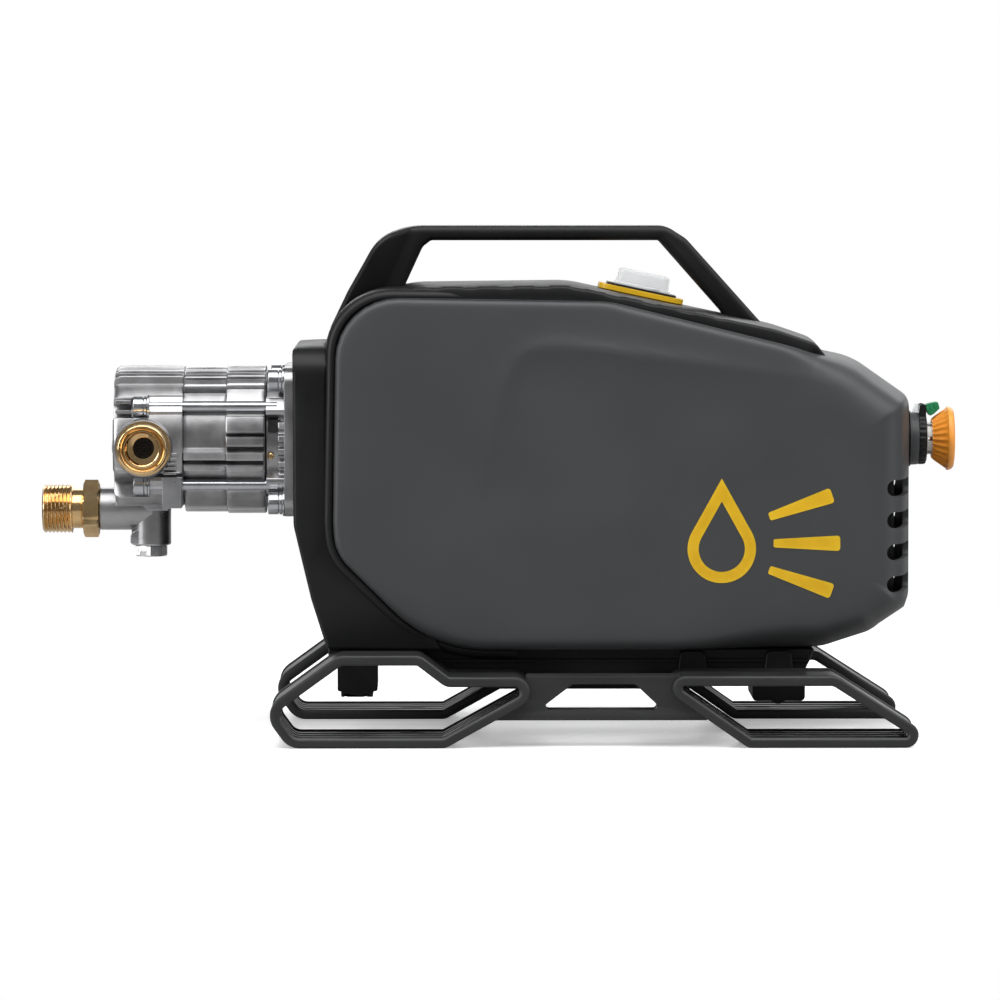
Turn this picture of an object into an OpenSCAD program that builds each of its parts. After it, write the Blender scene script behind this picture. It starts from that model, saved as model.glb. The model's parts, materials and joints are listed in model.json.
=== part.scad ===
// Portable electric pressure washer on a pair of side skids.
// Frame: millimetres, +Z up, +X towards the rear inlet, pump at -X.
// Origin: the middle of the footprint, on the ground.

/* [Shell] */
// Half width of the two grey side shells
shell_half_w = 72; // [66:1:78]
// Wall thickness of the side shells
shell_wall = 3; // [2:0.5:4]
// Number of cooling slots in each rear corner
vent_count = 4; // [2:1:4]
// Height of one cooling slot
vent_h = 9; // [5:0.5:11]

/* [Skids] */
// Outer half width across the skids
skid_outer = 102; // [96:1:110]
// Inner half width between the skids
skid_inner = 52; // [52:1:60]
// Thickness of a skid rail
rail_t = 5.6; // [4:0.2:7]

/* [Handle] */
// Height of the top of the carry handle
handle_top = 278.5; // [275:0.5:290]
// Thickness of the grip bar
grip_t = 8; // [6:0.5:9]
// Half width of the grip bar
grip_half_w = 14; // [11:1:17]

/* [Pump and motor] */
// Height of the pump and motor axis
axis_z = 161; // [158:1:164]
// Tilt of the swash plate
swash_tilt = 7; // [4:0.5:8]
// Radius of one piston
piston_r = 6; // [5:0.5:7]
// Radius of the circle the three pistons stand on
piston_ring_r = 18; // [17:0.5:19]

/* [Fittings] */
// Outer radius of the hose thread on both brass fittings
thread_r = 13.7; // [12:0.1:14]
// Pitch of the outlet thread
thread_pitch = 2.1; // [1.8:0.1:2.5]
// Radius of the water passages
water_r = 7.4; // [6:0.1:8]

/* [Hidden] */

$fn = 48;
e = 0.05;          // overcut of a boolean
gap = 0.3;         // air between curved faces
fit = 0.05;        // radial running fit

black = [0.07, 0.07, 0.075];
graphite = [0.29, 0.29, 0.30];
skid_grey = [0.15, 0.15, 0.16];
cast = [0.72, 0.72, 0.71];
steel = [0.80, 0.80, 0.82];
brass = [0.80, 0.62, 0.28];
yellow = [0.92, 0.73, 0.05];

// ---- outlines --------------------------------------------------------------

// An outline is a list of corners [x, z, radius], anticlockwise.

function flat(p) = [p[0], p[1]];
function unit(v) = v / norm(v);
function cross2(a, b) = a[0] * b[1] - a[1] * b[0];

// The points of one rounded corner p between its neighbours a and b.
function corner(p, a, b, steps) = p[2] == 0 ? [flat(p)] :
    let (u = unit(flat(a) - flat(p)), w = unit(flat(b) - flat(p)),
         half = acos(u * w) / 2, mid = flat(p) + unit(u + w) * p[2] / sin(half),
         start = flat(p) + u * p[2] / tan(half) - mid,
         turn = (cross2(u, w) > 0 ? -1 : 1) * (180 - 2 * half))
    [for (i = [0:steps]) let (t = turn * i / steps)
        mid + [start[0] * cos(t) - start[1] * sin(t), start[0] * sin(t) + start[1] * cos(t)]];

function rounded(c, steps = 5) = [for (i = [0:len(c) - 1])
    each corner(c[i], c[(i + len(c) - 1) % len(c)], c[(i + 1) % len(c)], steps)];

// The same outline moved inwards by d, or outwards where d is negative.
function inset(c, d) = [for (i = [0:len(c) - 1])
    let (p = flat(c[i]), a = flat(c[(i + len(c) - 1) % len(c)]), b = flat(c[(i + 1) % len(c)]),
         u = unit(p - a), w = unit(b - p), n1 = [-u[1], u[0]], n2 = [-w[1], w[0]],
         q = p + (n1 + n2) * d / (1 + n1 * n2), bend = cross2(u, w) > 0 ? -d : d)
    [q[0], q[1], c[i][2] == 0 ? 0 : max(c[i][2] + bend, 0.3)]];

// An outline in the XZ plane, as a slab from y0 to y1.
module slab(c, y0, y1, steps = 5)
    translate([0, y1, 0]) rotate([90, 0, 0]) linear_extrude(y1 - y0) polygon(rounded(c, steps));

// An outline in the YZ plane, as a slab from x0 to x1.
module plate(c, x0, x1, steps = 5)
    translate([x0, 0, 0]) rotate([90, 0, 90]) linear_extrude(x1 - x0) polygon(rounded(c, steps));

// A cylinder along X, from x0 to x1, and a tube the same way.
module rod(x0, x1, r, r2 = -1, y = 0, z = axis_z, fn = 48)
    translate([x0, y, z]) rotate([0, 90, 0]) cylinder(h = x1 - x0, r1 = r, r2 = r2 < 0 ? r : r2, $fn = fn);
module tube(x0, x1, r, bore, y = 0, z = axis_z)
    difference() { rod(x0, x1, r, y = y, z = z); rod(x0 - e, x1 + e, bore, y = y, z = z); }

// A box given by its two corners.
module box(a, b) translate(a) cube(b - a);

// Copies on a circle round the pump axis, at the listed angles.
module around_axis(angles, r)
    for (t = angles) translate([0, r * cos(t), axis_z + r * sin(t)]) rotate([t, 0, 0]) children();
module at_angle(t, r) around_axis([t], r) children();

// ---- housing ---------------------------------------------------------------

shell_front = -90;
shell_outline = [[60, 238.5, 70], [shell_front + 2, 241, 34], [shell_front, 120, 40],
    [shell_front + 1, 102, 14], [-36, 49.5, 34], [176, 49.5, 40], [204, 58.5, 30], [226.5, 73.5, 10],
    [226.5, 184, 9], [194, 206.8, 40], [172, 211, 14]];
spine_half_w = 62;
spine_top = [[179, 208.5, 2], [172, 217, 14], [150, 224.6, 60], [38, 248.5, 60],
    [-48, 247.5, 50], [-80, 236.5, 15], [-94, 217, 1]];
spine_depth = 11;
rear_x = 226.5;

function lowered(c, d) = [for (p = c) [p[0], p[1] - d, p[2]]];
function backwards(c) = [for (i = [len(c) - 1:-1:0]) c[i]];
function spine_band(top, bottom) = concat(lowered(spine_top, top), backwards(lowered(spine_top, bottom)));

edge_start = 60;        // half width at which the shell's side begins to round over
edge_mid = 68;
edge_mid_inset = 2;
edge_end_inset = 7;
module shell_solid(d) hull() {
    slab(inset(shell_outline, d), 0, edge_start);
    slab(inset(shell_outline, d + edge_mid_inset), 0, edge_mid - d);
    slab(inset(shell_outline, d + edge_end_inset), 0, shell_half_w - d);
}

vent_pitch = 17.7;
vent_top = 138;
module vents() for (i = [0:vent_count - 1]) let (z = vent_top - i * vent_pitch) {
    box([rear_x - 17 + vent_h / 2, 26, z - vent_h], [rear_x + 10, shell_half_w + 8, z]);
    translate([rear_x - 17 + vent_h / 2, 26, z - vent_h / 2]) rotate([-90, 0, 0])
        cylinder(h = shell_half_w, r = vent_h / 2);
}

inlet_bore_r = 12;
// Clamshell screws: their places in the side view, and how deep they reach across the middle.
shell_screw_at = [[-54, 84], [80, 64], [206, 84], [200, 190]];
screw_r = 2;
screw_head_r = 4.5;
screw_head_y = 60;
screw_reach = 20;
module at_shell_screws() for (p = shell_screw_at)
    translate([p[0], 0, p[1]]) rotate([-90, 0, 0]) children();
module shell_half(screw_side) difference() {
    shell_solid(0);
    difference() {
        shell_solid(shell_wall);
        at_shell_screws() cylinder(h = shell_half_w, r = 7);
    }
    translate([0, -e, 0]) box([-110, 0, 190], [179.5, spine_half_w + gap, 260]);
    box([shell_front - 5, -e, 60], [shell_front + 7, 60, 220]);
    vents();
    rod(rear_x - 10, rear_x + 5, inlet_bore_r + gap);
    at_shell_screws() translate([0, 0, -1]) cylinder(h = screw_side ? 90 : screw_reach + 2, r = screw_r + gap);
    if (screw_side) at_shell_screws() translate([0, 0, screw_head_y - 2 * gap]) cylinder(h = 20, r = screw_head_r + gap);
}
module shell_left() color(graphite) mirror([0, 1, 0]) translate([0, 0.1, 0]) shell_half(false);
module shell_right() color(graphite) translate([0, 0.1, 0]) shell_half(true);

switch_x = 78;
switch_z = 239.97;
spine_slope = 12;
module at_switch() translate([switch_x, 0, switch_z]) rotate([0, spine_slope, 0]) children();

module spine_cover() color(black) difference() {
    slab(spine_band(0, spine_depth), -spine_half_w, spine_half_w);
    slab(inset(spine_band(3, spine_depth + 20), 0.1), -spine_half_w + 3, spine_half_w - 3);
    at_switch() box([-15.5, -12.5, -30], [15.5, 12.5, 10]);
    at_handle_screws() cylinder(h = 14, r = handle_screw_r + gap);
}

// Outline of the handle: grip bar, raked front leg with a broad foot, slim rear leg.
handle_outline = [[-94, 219, 1], [-84, 228, 0], [-59.5, 228, 0], [-41.5, 267, 6], [-37, handle_top - grip_t, 3],
    [88, handle_top - grip_t, 3], [122, 232, 0], [126, 226, 0], [146.5, 223, 1],
    [103, 271.5, 14], [92, handle_top, 14], [-50, handle_top, 18], [-66.5, 271.5, 12], [-74, 258, 20],
    [-82.5, 243, 20]];
foot_half_w = 40;
module spine_space() slab(concat([[186, 150, 0], [186, 204, 0]], spine_top, [[-100, 204, 0], [-100, 150, 0]]),
    -spine_half_w, spine_half_w);
module carry_handle() color(black) difference() {
    union() {
        slab(handle_outline, -grip_half_w, grip_half_w, 6);
        hull() {
            slab([[-93, 218, 0], [-65, 218, 0], [-56, 240, 0], [-83, 240, 0]], -foot_half_w, foot_half_w);
            slab([[-69, 262, 0], [-50, 262, 0], [-48, 266, 0], [-67, 266, 0]], -grip_half_w, grip_half_w);
        }
    }
    spine_space();
    at_handle_screws() cylinder(h = 14.5, r = handle_screw_r + gap);
}

// Places of the screws that hold the handle's feet from under the spine: [x, y, z of the head].
handle_screw_r = 2.5;
handle_screw_at = [[-72, -9, 229.8], [-72, 9, 229.8], [132, -7, 220.3], [132, 7, 220.3]];
module at_handle_screws() for (p = handle_screw_at) translate(p) children();

frame_half_w = 64;
frame_x0 = -112;
frame_x1 = -96;
frame_outline = [[frame_x0, 213.5, 3], [frame_x0 + 0.5, 117, 20], [-108, 102, 20], [-102, 77, 20],
    [-93.5, 50, 2], [-30, 50, 0], [-60, 111, 0], [frame_x1, 111, 0], [frame_x1, 214.5, 2]];
frame_pocket = [[-101, 107, 2], [-97, 80, 10], [-89, 54, 2], [-20, 54, 0], [-60, 120, 0], [-101, 120, 0]];
frame_front = [[-frame_half_w, 40, 0], [frame_half_w, 40, 0], [frame_half_w, 214, 16],
    [-frame_half_w, 214, 16]];
flange_bolt_yz = 33.5;
module front_frame() color(black) difference() {
    intersection() { slab(frame_outline, -frame_half_w, frame_half_w); plate(frame_front, -120, -30); }
    slab(frame_pocket, -frame_half_w + 4, frame_half_w - 4);
    slab(inset(shell_outline, -gap), -80, 80);
    rod(-130, -90, 20);
    for (y = [-1, 1], z = [-1, 1])
        rod(-130, -90, 4, y = y * flange_bolt_yz, z = axis_z + z * flange_bolt_yz);
}

module front_bezel() color(black) difference() {
    plate([[-66, 112, 6], [66, 112, 6], [66, 216.5, 18], [-66, 216.5, 18]], frame_x1, shell_front + 1);
    plate([[-58, 90, 0], [58, 90, 0], [58, 216, 12], [-58, 216, 12]], frame_x1 - e, shell_front + 6);
    slab(inset(shell_outline, -gap), -80, 80);
    slab(spine_band(0, spine_depth), -spine_half_w - gap, spine_half_w + gap);
}

tray_half_w = 51.8;
tray_outline = [[-93, 44, 2], [-46, 44, 8], [-31, 34, 8], [165, 34, 3], [172, 49.3, 1], [-93, 49.3, 0]];
tray_hollow = [[-89, 47, 1], [-44, 47, 8], [-29, 37, 8], [163, 37, 2], [167, 60, 0], [-89, 60, 0]];
tray_wall = 3;
module base_tray() color(black) difference() {
    slab(tray_outline, -tray_half_w, tray_half_w);
    slab(tray_hollow, -tray_half_w + tray_wall, tray_half_w - tray_wall);
    for (m = [0, 1]) mirror([0, m, 0]) at_skid_screws() skid_screw(skid_screw_r + 0.1);
}

module front_mount_block() color(black) difference() {
    union() {
        box([-88.5, -22, 23], [-66.5, 22, 44]);
        box([-86.5, -22, 20], [-69, 22, 23]);
    }
    for (x = [-84, -73]) box([x - 0.8, -23, 18], [x + 0.8, 23, 21.5]);
    translate([-77.5, 0, 15]) cylinder(h = 40, r = 4);
}
module rear_mount_bracket() color(black) difference() {
    union() {
        slab([[139.5, 34, 0], [139.5, 17.5, 2.5], [168.5, 17.5, 2.5], [168.5, 34, 0]], -22, 22);
        slab([[150, 17.6, 0], [152.5, 16, 0.5], [155, 16, 0.5], [157.5, 17.6, 0]], -22, 22);
    }
    translate([154, 0, 10]) cylinder(h = 40, r = 4);
}

// ---- skids -----------------------------------------------------------------

// Centre lines of the two closed loops and the outline of the bridge between them.
front_loop = [[-29.8, rail_t / 2, 5], [29.4, 35.6, 5.6], [-28.2, 35.6, 6], [-43.5, 47.2, 6],
    [-86, 47.2, 8], [-120.5, 19.5, 9], [-108, rail_t / 2, 9]];
rear_loop = [[231.5, rail_t / 2, 4], [179.5, 36, 8], [86.4, 36, 4], [134, rail_t / 2, 4]];
bridge = [[-7, 14.5, 1], [114, 14.5, 1], [88, 33, 1], [88, 38.4, 0], [26, 38.4, 0], [26, 33, 1]];
bridge_window = [[19.5, 20, 2], [88.5, 20, 2], [74, 34, 2], [37.5, 34, 2]];

module loop_band(c) difference() {
    slab(inset(c, -rail_t / 2), skid_inner, skid_outer);
    slab(inset(c, rail_t / 2), skid_inner - e, skid_outer + e);
}
slot_y = 70;
slot_l = 10;
slot_half_w = 2.75;
foot_slot_x = [-47.5, 147.5];
foot_rib_x = [-100, 141];
module foot_slot(x) for (s = [-1, 1]) {
    translate([x + s * slot_l / 2, slot_y, -1]) cylinder(h = rail_t + 4, r = slot_half_w);
    box([x - slot_l / 2, slot_y - slot_half_w, -1], [x + slot_l / 2, slot_y + slot_half_w, rail_t + 4]);
}
// Screws from inside the tray into the skid's rail in front and its two ears behind: [x, z].
skid_screw_at = [[-66, 46.8], [105, 43.5], [152, 43.5]];
skid_screw_r = 2;
skid_screw_back = 2.5;
skid_screw_l = 5.8;
module at_skid_screws() for (p = skid_screw_at) translate([p[0], 0, p[1]]) rotate([-90, 0, 0]) children();
module skid_screw(r) translate([0, 0, skid_inner - skid_screw_back]) cylinder(h = skid_screw_l, r = r);

module bridge_plate() difference() {
    slab(bridge, skid_outer - 22, skid_outer - 6);
    slab(bridge_window, skid_outer - 23, skid_outer);
    slab(inset(front_loop, 1), skid_outer - 23, skid_outer);
    slab(inset(rear_loop, 1), skid_outer - 23, skid_outer);
}
module skid() difference() {
    union() {
        loop_band(front_loop);
        loop_band(rear_loop);
        bridge_plate();
        for (x = [105, 152]) box([x - 8, skid_inner, 37], [x + 8, skid_inner + 4, 48.5]);
        for (x = foot_rib_x, k = [0:2])
            translate([x, skid_outer - 42 + 14 * k, rail_t - 1]) cube([66, 5, 1.8]);
    }
    for (x = foot_slot_x) foot_slot(x);
    at_skid_screws() skid_screw(skid_screw_r);
}
module skid_right() color(skid_grey) skid();
module skid_left() color(skid_grey) mirror([0, 1, 0]) skid();

// ---- fasteners of the housing ----------------------------------------------

module shell_screws() color(steel) at_shell_screws() {
    translate([0, 0, -screw_reach]) cylinder(h = screw_reach + screw_head_y, r = screw_r);
    translate([0, 0, screw_head_y]) difference() {
        cylinder(h = 4, r = screw_head_r);
        translate([0, 0, 2]) cylinder(h = 3, r = 2, $fn = 6);
    }
}
module skid_screws() color(steel) for (m = [0, 1]) mirror([0, m, 0]) at_skid_screws() skid_screw(skid_screw_r);

module handle_screws() color(steel) at_handle_screws() {
    cylinder(h = 3.5, r = 4.5);
    cylinder(h = 14, r = handle_screw_r);
}

// ---- pump ------------------------------------------------------------------

head_x0 = -210.6;
head_x1 = -172.3;
body_x1 = -127.6;
flange_x1 = frame_x0;
head_r = 36;
fin_r = 41;
piston_angles = [90, 210, 330];
names_abc = ["a", "b", "c"];
bolt_angles = [30, 150, 218, 322];
bolt_ring_r = 38.5;
chamber_x0 = -200;
chamber_r = piston_r + 1.5;
bolt_head_x = -198.6;
bolt_head_l = 7.8;
bolt_end_x = -120;
guide_x0 = -160;

// Longitudinal cooling fins between two X positions, on a barrel of radius r.
// They leave room for the bolts.
module fins(x0, x1, r0, r1, from, to, step, t)
    for (a = [from:step:to]) if (min([for (b = bolt_angles) abs(a - b)]) > 12)
        at_angle(a, 0) box([x0, r0, -t / 2], [x1, r1, t / 2]);

block_x0 = -220;
block_x1 = -180.5;
block_z0 = 110.7;
block_z1 = 134;
boss_x = -191.5;
module block_space() box([block_x0 - 1, -13, block_z0 - 20], [block_x1, 13, block_z1]);

inlet_x = -193.5;
inlet_z = 158;
// The wide inlet bore stops here, and narrow passages lead on to the valves.
inlet_deep = 26;
passage_r = 4;
module inlet_axis() translate([inlet_x, 0, inlet_z]) rotate([90, 0, 0]) children();

module pump_head() color(cast) difference() {
    union() {
        rod(head_x0, head_x1, head_r);
        fins(head_x0 + 2, head_x1, 30, fin_r, 45, 135, 10, 3);
        fins(head_x0 + 2, head_x1, 30, fin_r, 245, 295, 10, 3);
        for (a = bolt_angles) at_angle(a, bolt_ring_r) box([head_x0 + 20, -8, -6.5], [head_x1, 5, 6.5]);
        inlet_axis() cylinder(h = 43, r = 15.5);
    }
    block_space();
    inlet_axis() translate([0, 0, 34]) cylinder(h = 12, r = 11);
    inlet_axis() translate([0, 0, inlet_deep]) cylinder(h = 40 - inlet_deep, r = water_r);
    inlet_axis() translate([0, 0, 8]) cylinder(h = inlet_deep, r = passage_r);
    for (a = piston_angles) {
        at_angle(a, piston_ring_r) rod(chamber_x0, head_x1 + e, chamber_r, z = 0);
    }
    for (a = bolt_angles) at_angle(a, bolt_ring_r) {
        rod(head_x0 - 10, head_x1 + 1, 3.2, z = 0);
        rod(head_x0 - 10, bolt_head_x + bolt_head_l, 5.6, z = 0);
    }
}

cavity_r = 30;
module pump_body() color(cast) difference() {
    union() {
        rod(head_x1, body_x1, 34);
        fins(head_x1, -148, 32, fin_r - 2, 5, 355, 10, 2.4);
        fins(-149, body_x1, 31.5, fin_r, 5, 355, 10, 4.4);
        for (a = bolt_angles) at_angle(a, bolt_ring_r) box([head_x1, -7, -6.2], [-153, 5, 6.2]);
    }
    rod(guide_x0, body_x1 + e, cavity_r);
    for (a = piston_angles) at_angle(a, piston_ring_r) rod(head_x1 - e, guide_x0 + e, piston_r + fit, z = 0);
    for (a = bolt_angles) at_angle(a, bolt_ring_r) {
        rod(head_x1 - 1, -147, 3.2, z = 0);
        rod(-151, body_x1 + 1, 5.2, z = 0);
    }
}

bearing_r = 16;
shaft_r = 7;
module flange_adapter() color(cast) difference() {
    union() {
        rod(body_x1, -117, 33);
        plate([for (p = [[-1, -1], [1, -1], [1, 1], [-1, 1]])
            [p[0] * 41, axis_z + p[1] * 41, 10]], -117, flange_x1);
        fins(-123, -116, 30, 37, 5, 355, 10, 3);
        for (a = bolt_angles) at_angle(a, bolt_ring_r) box([body_x1, -8, -6], [-116.5, 3.5, 6]);
    }
    rod(body_x1 - e, -119, bearing_r);
    rod(-119 - e, -100, 15.5);
    for (y = [-1, 1]) box([-118, y * 22 - 18, axis_z + 3], [-114, y * 22 + 18, axis_z + 9]);
    for (y = [-1, 1], z = [-1, 1])
        rod(-130, -100, 4, y = y * flange_bolt_yz, z = axis_z + z * flange_bolt_yz);
    for (y = [-1, 1], z = [-1, 1])
        rod(-130, -117, 7.5, y = y * flange_bolt_yz, z = axis_z + z * flange_bolt_yz);
    for (a = bolt_angles) at_angle(a, bolt_ring_r) rod(-130, bolt_end_x, 3, z = 0);
}

swash_x = -133.6;
swash_r = 26;
module pump_shaft() color(steel) rod(-141, shaft_meet_x, shaft_r);
module swash_plate() color(steel) difference() {
    union() {
        translate([swash_x, 0, axis_z]) rotate([0, 90 - swash_tilt, 0]) cylinder(h = 4, r = swash_r, center = true);
        rod(swash_x, -128.2, 12);
    }
    rod(-150, -110, shaft_r);
}
race_t = 2;
module thrust_race() color(steel) translate([swash_x, 0, axis_z]) rotate([0, 90 - swash_tilt, 0])
    translate([0, 0, -2 - race_t]) difference() {
        cylinder(h = race_t, r = swash_r);
        translate([0, 0, -1]) cylinder(h = race_t + 2, r = 11);
    }
module pump_bearing() color(steel) tube(-127.4, -119, bearing_r - 0.02, shaft_r + fit);

foot_x = -142;
foot_t = 3;
piston_x0 = -178;
module piston() { rod(piston_x0, foot_x, piston_r, z = 0); rod(foot_x - foot_t, foot_x, piston_r + 2.5, z = 0); }
module piston_n(i) color(steel) at_angle(piston_angles[i], piston_ring_r) piston();
module piston_a() piston_n(0);
module piston_b() piston_n(1);
module piston_c() piston_n(2);
module piston_spring_n(i) color(steel) at_angle(piston_angles[i], piston_ring_r) difference() {
    rod(guide_x0 + 0.1, foot_x - foot_t - 0.1, 8.4, z = 0);
    rod(guide_x0 - 1, foot_x, 6.6, z = 0);
    for (k = [0:4]) tube(guide_x0 + 1.5 + 2.8 * k, guide_x0 + 2.7 + 2.8 * k, 9, 7.5, z = 0);
}
module piston_spring_a() piston_spring_n(0);
module piston_spring_b() piston_spring_n(1);
module piston_spring_c() piston_spring_n(2);
module piston_seals() color(black) for (a = piston_angles) at_angle(a, piston_ring_r) difference() {
    rod(head_x1 - 4, head_x1 - 0.5, chamber_r, z = 0);
    rod(head_x1 - 5, head_x1, piston_r + fit, z = 0);
}
module valve_poppet_n(i) color(brass) at_angle(piston_angles[i], piston_ring_r)
    rod(-192, -189, 5, z = 0);
module valve_poppet_a() valve_poppet_n(0);
module valve_poppet_b() valve_poppet_n(1);
module valve_poppet_c() valve_poppet_n(2);

module socket_bolt(x0, head_l, head_r2, x1, r) difference() {
    union() { rod(x0, x0 + head_l, head_r2, z = 0); rod(x0 + head_l, x1, r, z = 0); }
    translate([x0 - e, 0, 0]) rotate([0, 90, 0]) cylinder(h = head_l * 0.6, r = head_r2 * 0.5, $fn = 6);
}
module head_bolts() color(steel) around_axis(bolt_angles, bolt_ring_r) {
    socket_bolt(bolt_head_x, bolt_head_l, 5, bolt_end_x, 3);
}
module flange_bolts() color(steel) for (y = [-1, 1], z = [-1, 1])
    translate([0, y * flange_bolt_yz, axis_z + z * flange_bolt_yz]) socket_bolt(-125, 8, 6.5, -97, 3.8);

// ---- water fittings and unloader -------------------------------------------

module inlet_fitting() color(brass) inlet_axis() difference() {
    union() {
        translate([0, 0, 34]) cylinder(h = 9, r = 10.9);
        translate([0, 0, 43]) cylinder(h = 3, r = 15);
        translate([0, 0, 46]) cylinder(h = 12, r = thread_r);
    }
    translate([0, 0, 33]) cylinder(h = 30, r = water_r);
    translate([0, 0, 54]) cylinder(h = 10, r = 9.2);
}

outlet_z = 122.5;
outlet_x0 = -251;
thread_x1 = -234.7;
module outlet_fitting() color(brass) difference() {
    union() {
        rod(outlet_x0, thread_x1, thread_r - 1, z = outlet_z);
        for (x = [outlet_x0 + 0.9:thread_pitch:thread_x1 - 1.6]) {
            rod(x, x + 0.9, thread_r - 1.1, thread_r, z = outlet_z);
            rod(x + 0.9, x + 1.8, thread_r, thread_r - 1.1, z = outlet_z);
        }
        rod(thread_x1 - e, -228.6, 10.9, z = outlet_z);
        translate([-228.6, 0, outlet_z]) rotate([0, 90, 0]) cylinder(h = 8.6, r = 15.9, $fn = 6);
        rod(-220 - e, -208, 8.9, z = outlet_z);
    }
    rod(outlet_x0 - 1, -200, water_r - 1, z = outlet_z);
}

spool_r = 5;
module unloader_block() color(cast) difference() {
    union() {
        box([block_x0, -12, block_z0], [block_x1, 12, block_z1]);
        translate([boss_x, 0, 102.4]) cylinder(h = 12, r = 11.4);
    }
    rod(-230, -207.9, 9, z = outlet_z);
    rod(-210, boss_x, passage_r, z = outlet_z);
    translate([boss_x, 0, 102]) cylinder(h = 26, r = spool_r + fit);
}
module unloader_spool() color(brass) translate([boss_x, 0, 118]) {
    cylinder(h = 3, r = spool_r);
    cylinder(h = 8, r = 3);
}
module unloader_spring() color(steel) translate([boss_x, 0, 108.2]) difference() {
    cylinder(h = 9.6, r = 4.8);
    translate([0, 0, -1]) cylinder(h = 12, r = 3.4);
    for (k = [0:3]) translate([0, 0, 1.2 + 2.1 * k]) difference() {
        cylinder(h = 1, r = 6);
        translate([0, 0, -1]) cylinder(h = 3, r = 4.1);
    }
}
module unloader_plug() color(steel) {
    translate([boss_x, 0, 96.4]) cylinder(h = 6, r = 8.6, $fn = 6);
    translate([boss_x, 0, 102.3]) cylinder(h = 5.7, r = spool_r);
}

// ---- motor -----------------------------------------------------------------

motor_shaft_r = 8;
stator_x0 = -66;
stator_x1 = 28;
stator_r = 53;
stator_bore = 30;
shaft_meet_x = -107;
module shaft_coupling() color(steel) difference() {
    rod(-117.5, -97, 14);
    rod(-120, shaft_meet_x, shaft_r);
    rod(shaft_meet_x - e, -90, motor_shaft_r);
}
module front_end_bell() color(cast) difference() {
    union() { rod(-91.5, -84, stator_r); tube(-84, stator_x0, stator_r, stator_r - 4); rod(frame_x1, -80, 22); }
    rod(-100, -78, 15);
}
module rear_end_bell() color(cast) difference() {
    union() { rod(46, 52, stator_r); tube(stator_x1, 46, stator_r, stator_r - 4); rod(40, 56, 22); }
    rod(30, 60, 15);
    for (a = [0:45:315]) at_angle(a, 36) rod(44, 54, 7, z = 0);
}
module motor_bearings() color(steel) { tube(-91, -81, 15 - 0.02, motor_shaft_r + fit); tube(41, 51, 15 - 0.02, motor_shaft_r + fit); }
module stator_core() color(steel) difference() {
    rod(stator_x0, stator_x1, stator_r);
    rod(stator_x0 - e, stator_x1 + e, stator_bore);
}
module stator_windings() color([0.72, 0.40, 0.20]) {
    tube(stator_x0 - 12, stator_x0 - 0.2, 48, 34);
    tube(stator_x1 + 0.2, stator_x1 + 11, 48, 34);
}
module rotor_core() color(steel) union() {
    rod(stator_x0 + 1, stator_x1 - 1, stator_bore - 0.5);
    rod(shaft_meet_x, 76, motor_shaft_r);
}
fan_x = 62;
module cooling_fan() color(black) difference() {
    union() {
        tube(fan_x, fan_x + 12, 14, motor_shaft_r);
        rod(fan_x, fan_x + 2, 44);
        for (a = [0:40:320]) at_angle(a, 0) box([fan_x, 13, -1], [fan_x + 12, 43, 1]);
    }
    rod(fan_x - 1, fan_x + 14, motor_shaft_r);
}
module fan_shroud() color(black) { tube(52, 78, 52, 48); }
module capacitor() color([0.2, 0.2, 0.22]) rod(-10, 60, 18, z = 70.6);

// ---- switch ----------------------------------------------------------------

bezel_t = 2.8;
flange_top = 4;
rocker_tilt = 10;
rocker_pin_r = 2.6;
module switch_bezel() color(yellow) at_switch() difference() {
    box([-23.5, -18, 0.05], [23.5, 18, bezel_t]);
    box([-15.5, -12.5, -3], [15.5, 12.5, 5]);
}
module switch_body() color(black) at_switch() difference() {
    union() {
        box([-15, -12, -26], [15, 12, flange_top]);
        box([-19.5, -15.5, bezel_t], [19.5, 15.5, flange_top]);
    }
    box([-12.5, -9.5, -9], [12.5, 9.5, 8]);
    translate([0, 0, -1]) rotate([90, 0, 0]) cylinder(h = 22, r = rocker_pin_r + fit, center = true);
}
module switch_rocker() color(black) at_switch() translate([0, 0, -1]) {
    rotate([90, 0, 0]) cylinder(h = 21, r = rocker_pin_r, center = true);
    rotate([0, -rocker_tilt, 0]) box([-11, -8.5, 0.5], [11, 8.5, 5]);
}
module switch_boot() color([0.85, 0.88, 0.9]) at_switch() difference() {
    box([-15.5, -13, flange_top], [15.5, 13, 13]);
    box([-14.3, -11.8, 2], [14.3, 11.8, 11.8]);
}

// ---- rear inlet ------------------------------------------------------------

module inlet_collar() color(black) difference() {
    union() { rod(rear_x + 0.2, 232, 14.5); rod(rear_x - 6, rear_x + 1, inlet_bore_r); }
    rod(210, 240, 9);
}
latch_pin = [234.2, 178.4];
latch_pin_r = 1.5;
module inlet_ring() color(black) difference() {
    union() {
        rod(232, 236, 14.3);
        for (m = [0, 1]) mirror([0, m, 0]) box([232.2, 4.4, 170], [236, 7, 180.2]);
    }
    rod(230, 240, 9);
    translate([latch_pin[0], 0, latch_pin[1]]) rotate([90, 0, 0])
        cylinder(h = 20, r = latch_pin_r + fit, center = true);
}
module contact_carrier() color([0.93, 0.93, 0.92]) difference() {
    rod(rear_x - 4, 243, 8.9);
    for (a = [0, 120, 240]) at_angle(a, 5) rod(238, 245, 1.2, z = 0);
}
module connector_shroud() color([0.95, 0.45, 0.08]) translate([0, 0, axis_z]) rotate([0, 90, 0]) rotate_extrude()
    polygon([[8.95, 239.2], [11, 239.2], [16.5, 247], [17.5, 248.3], [15.4, 251], [12, 251], [8.95, 243.2]]);
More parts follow.
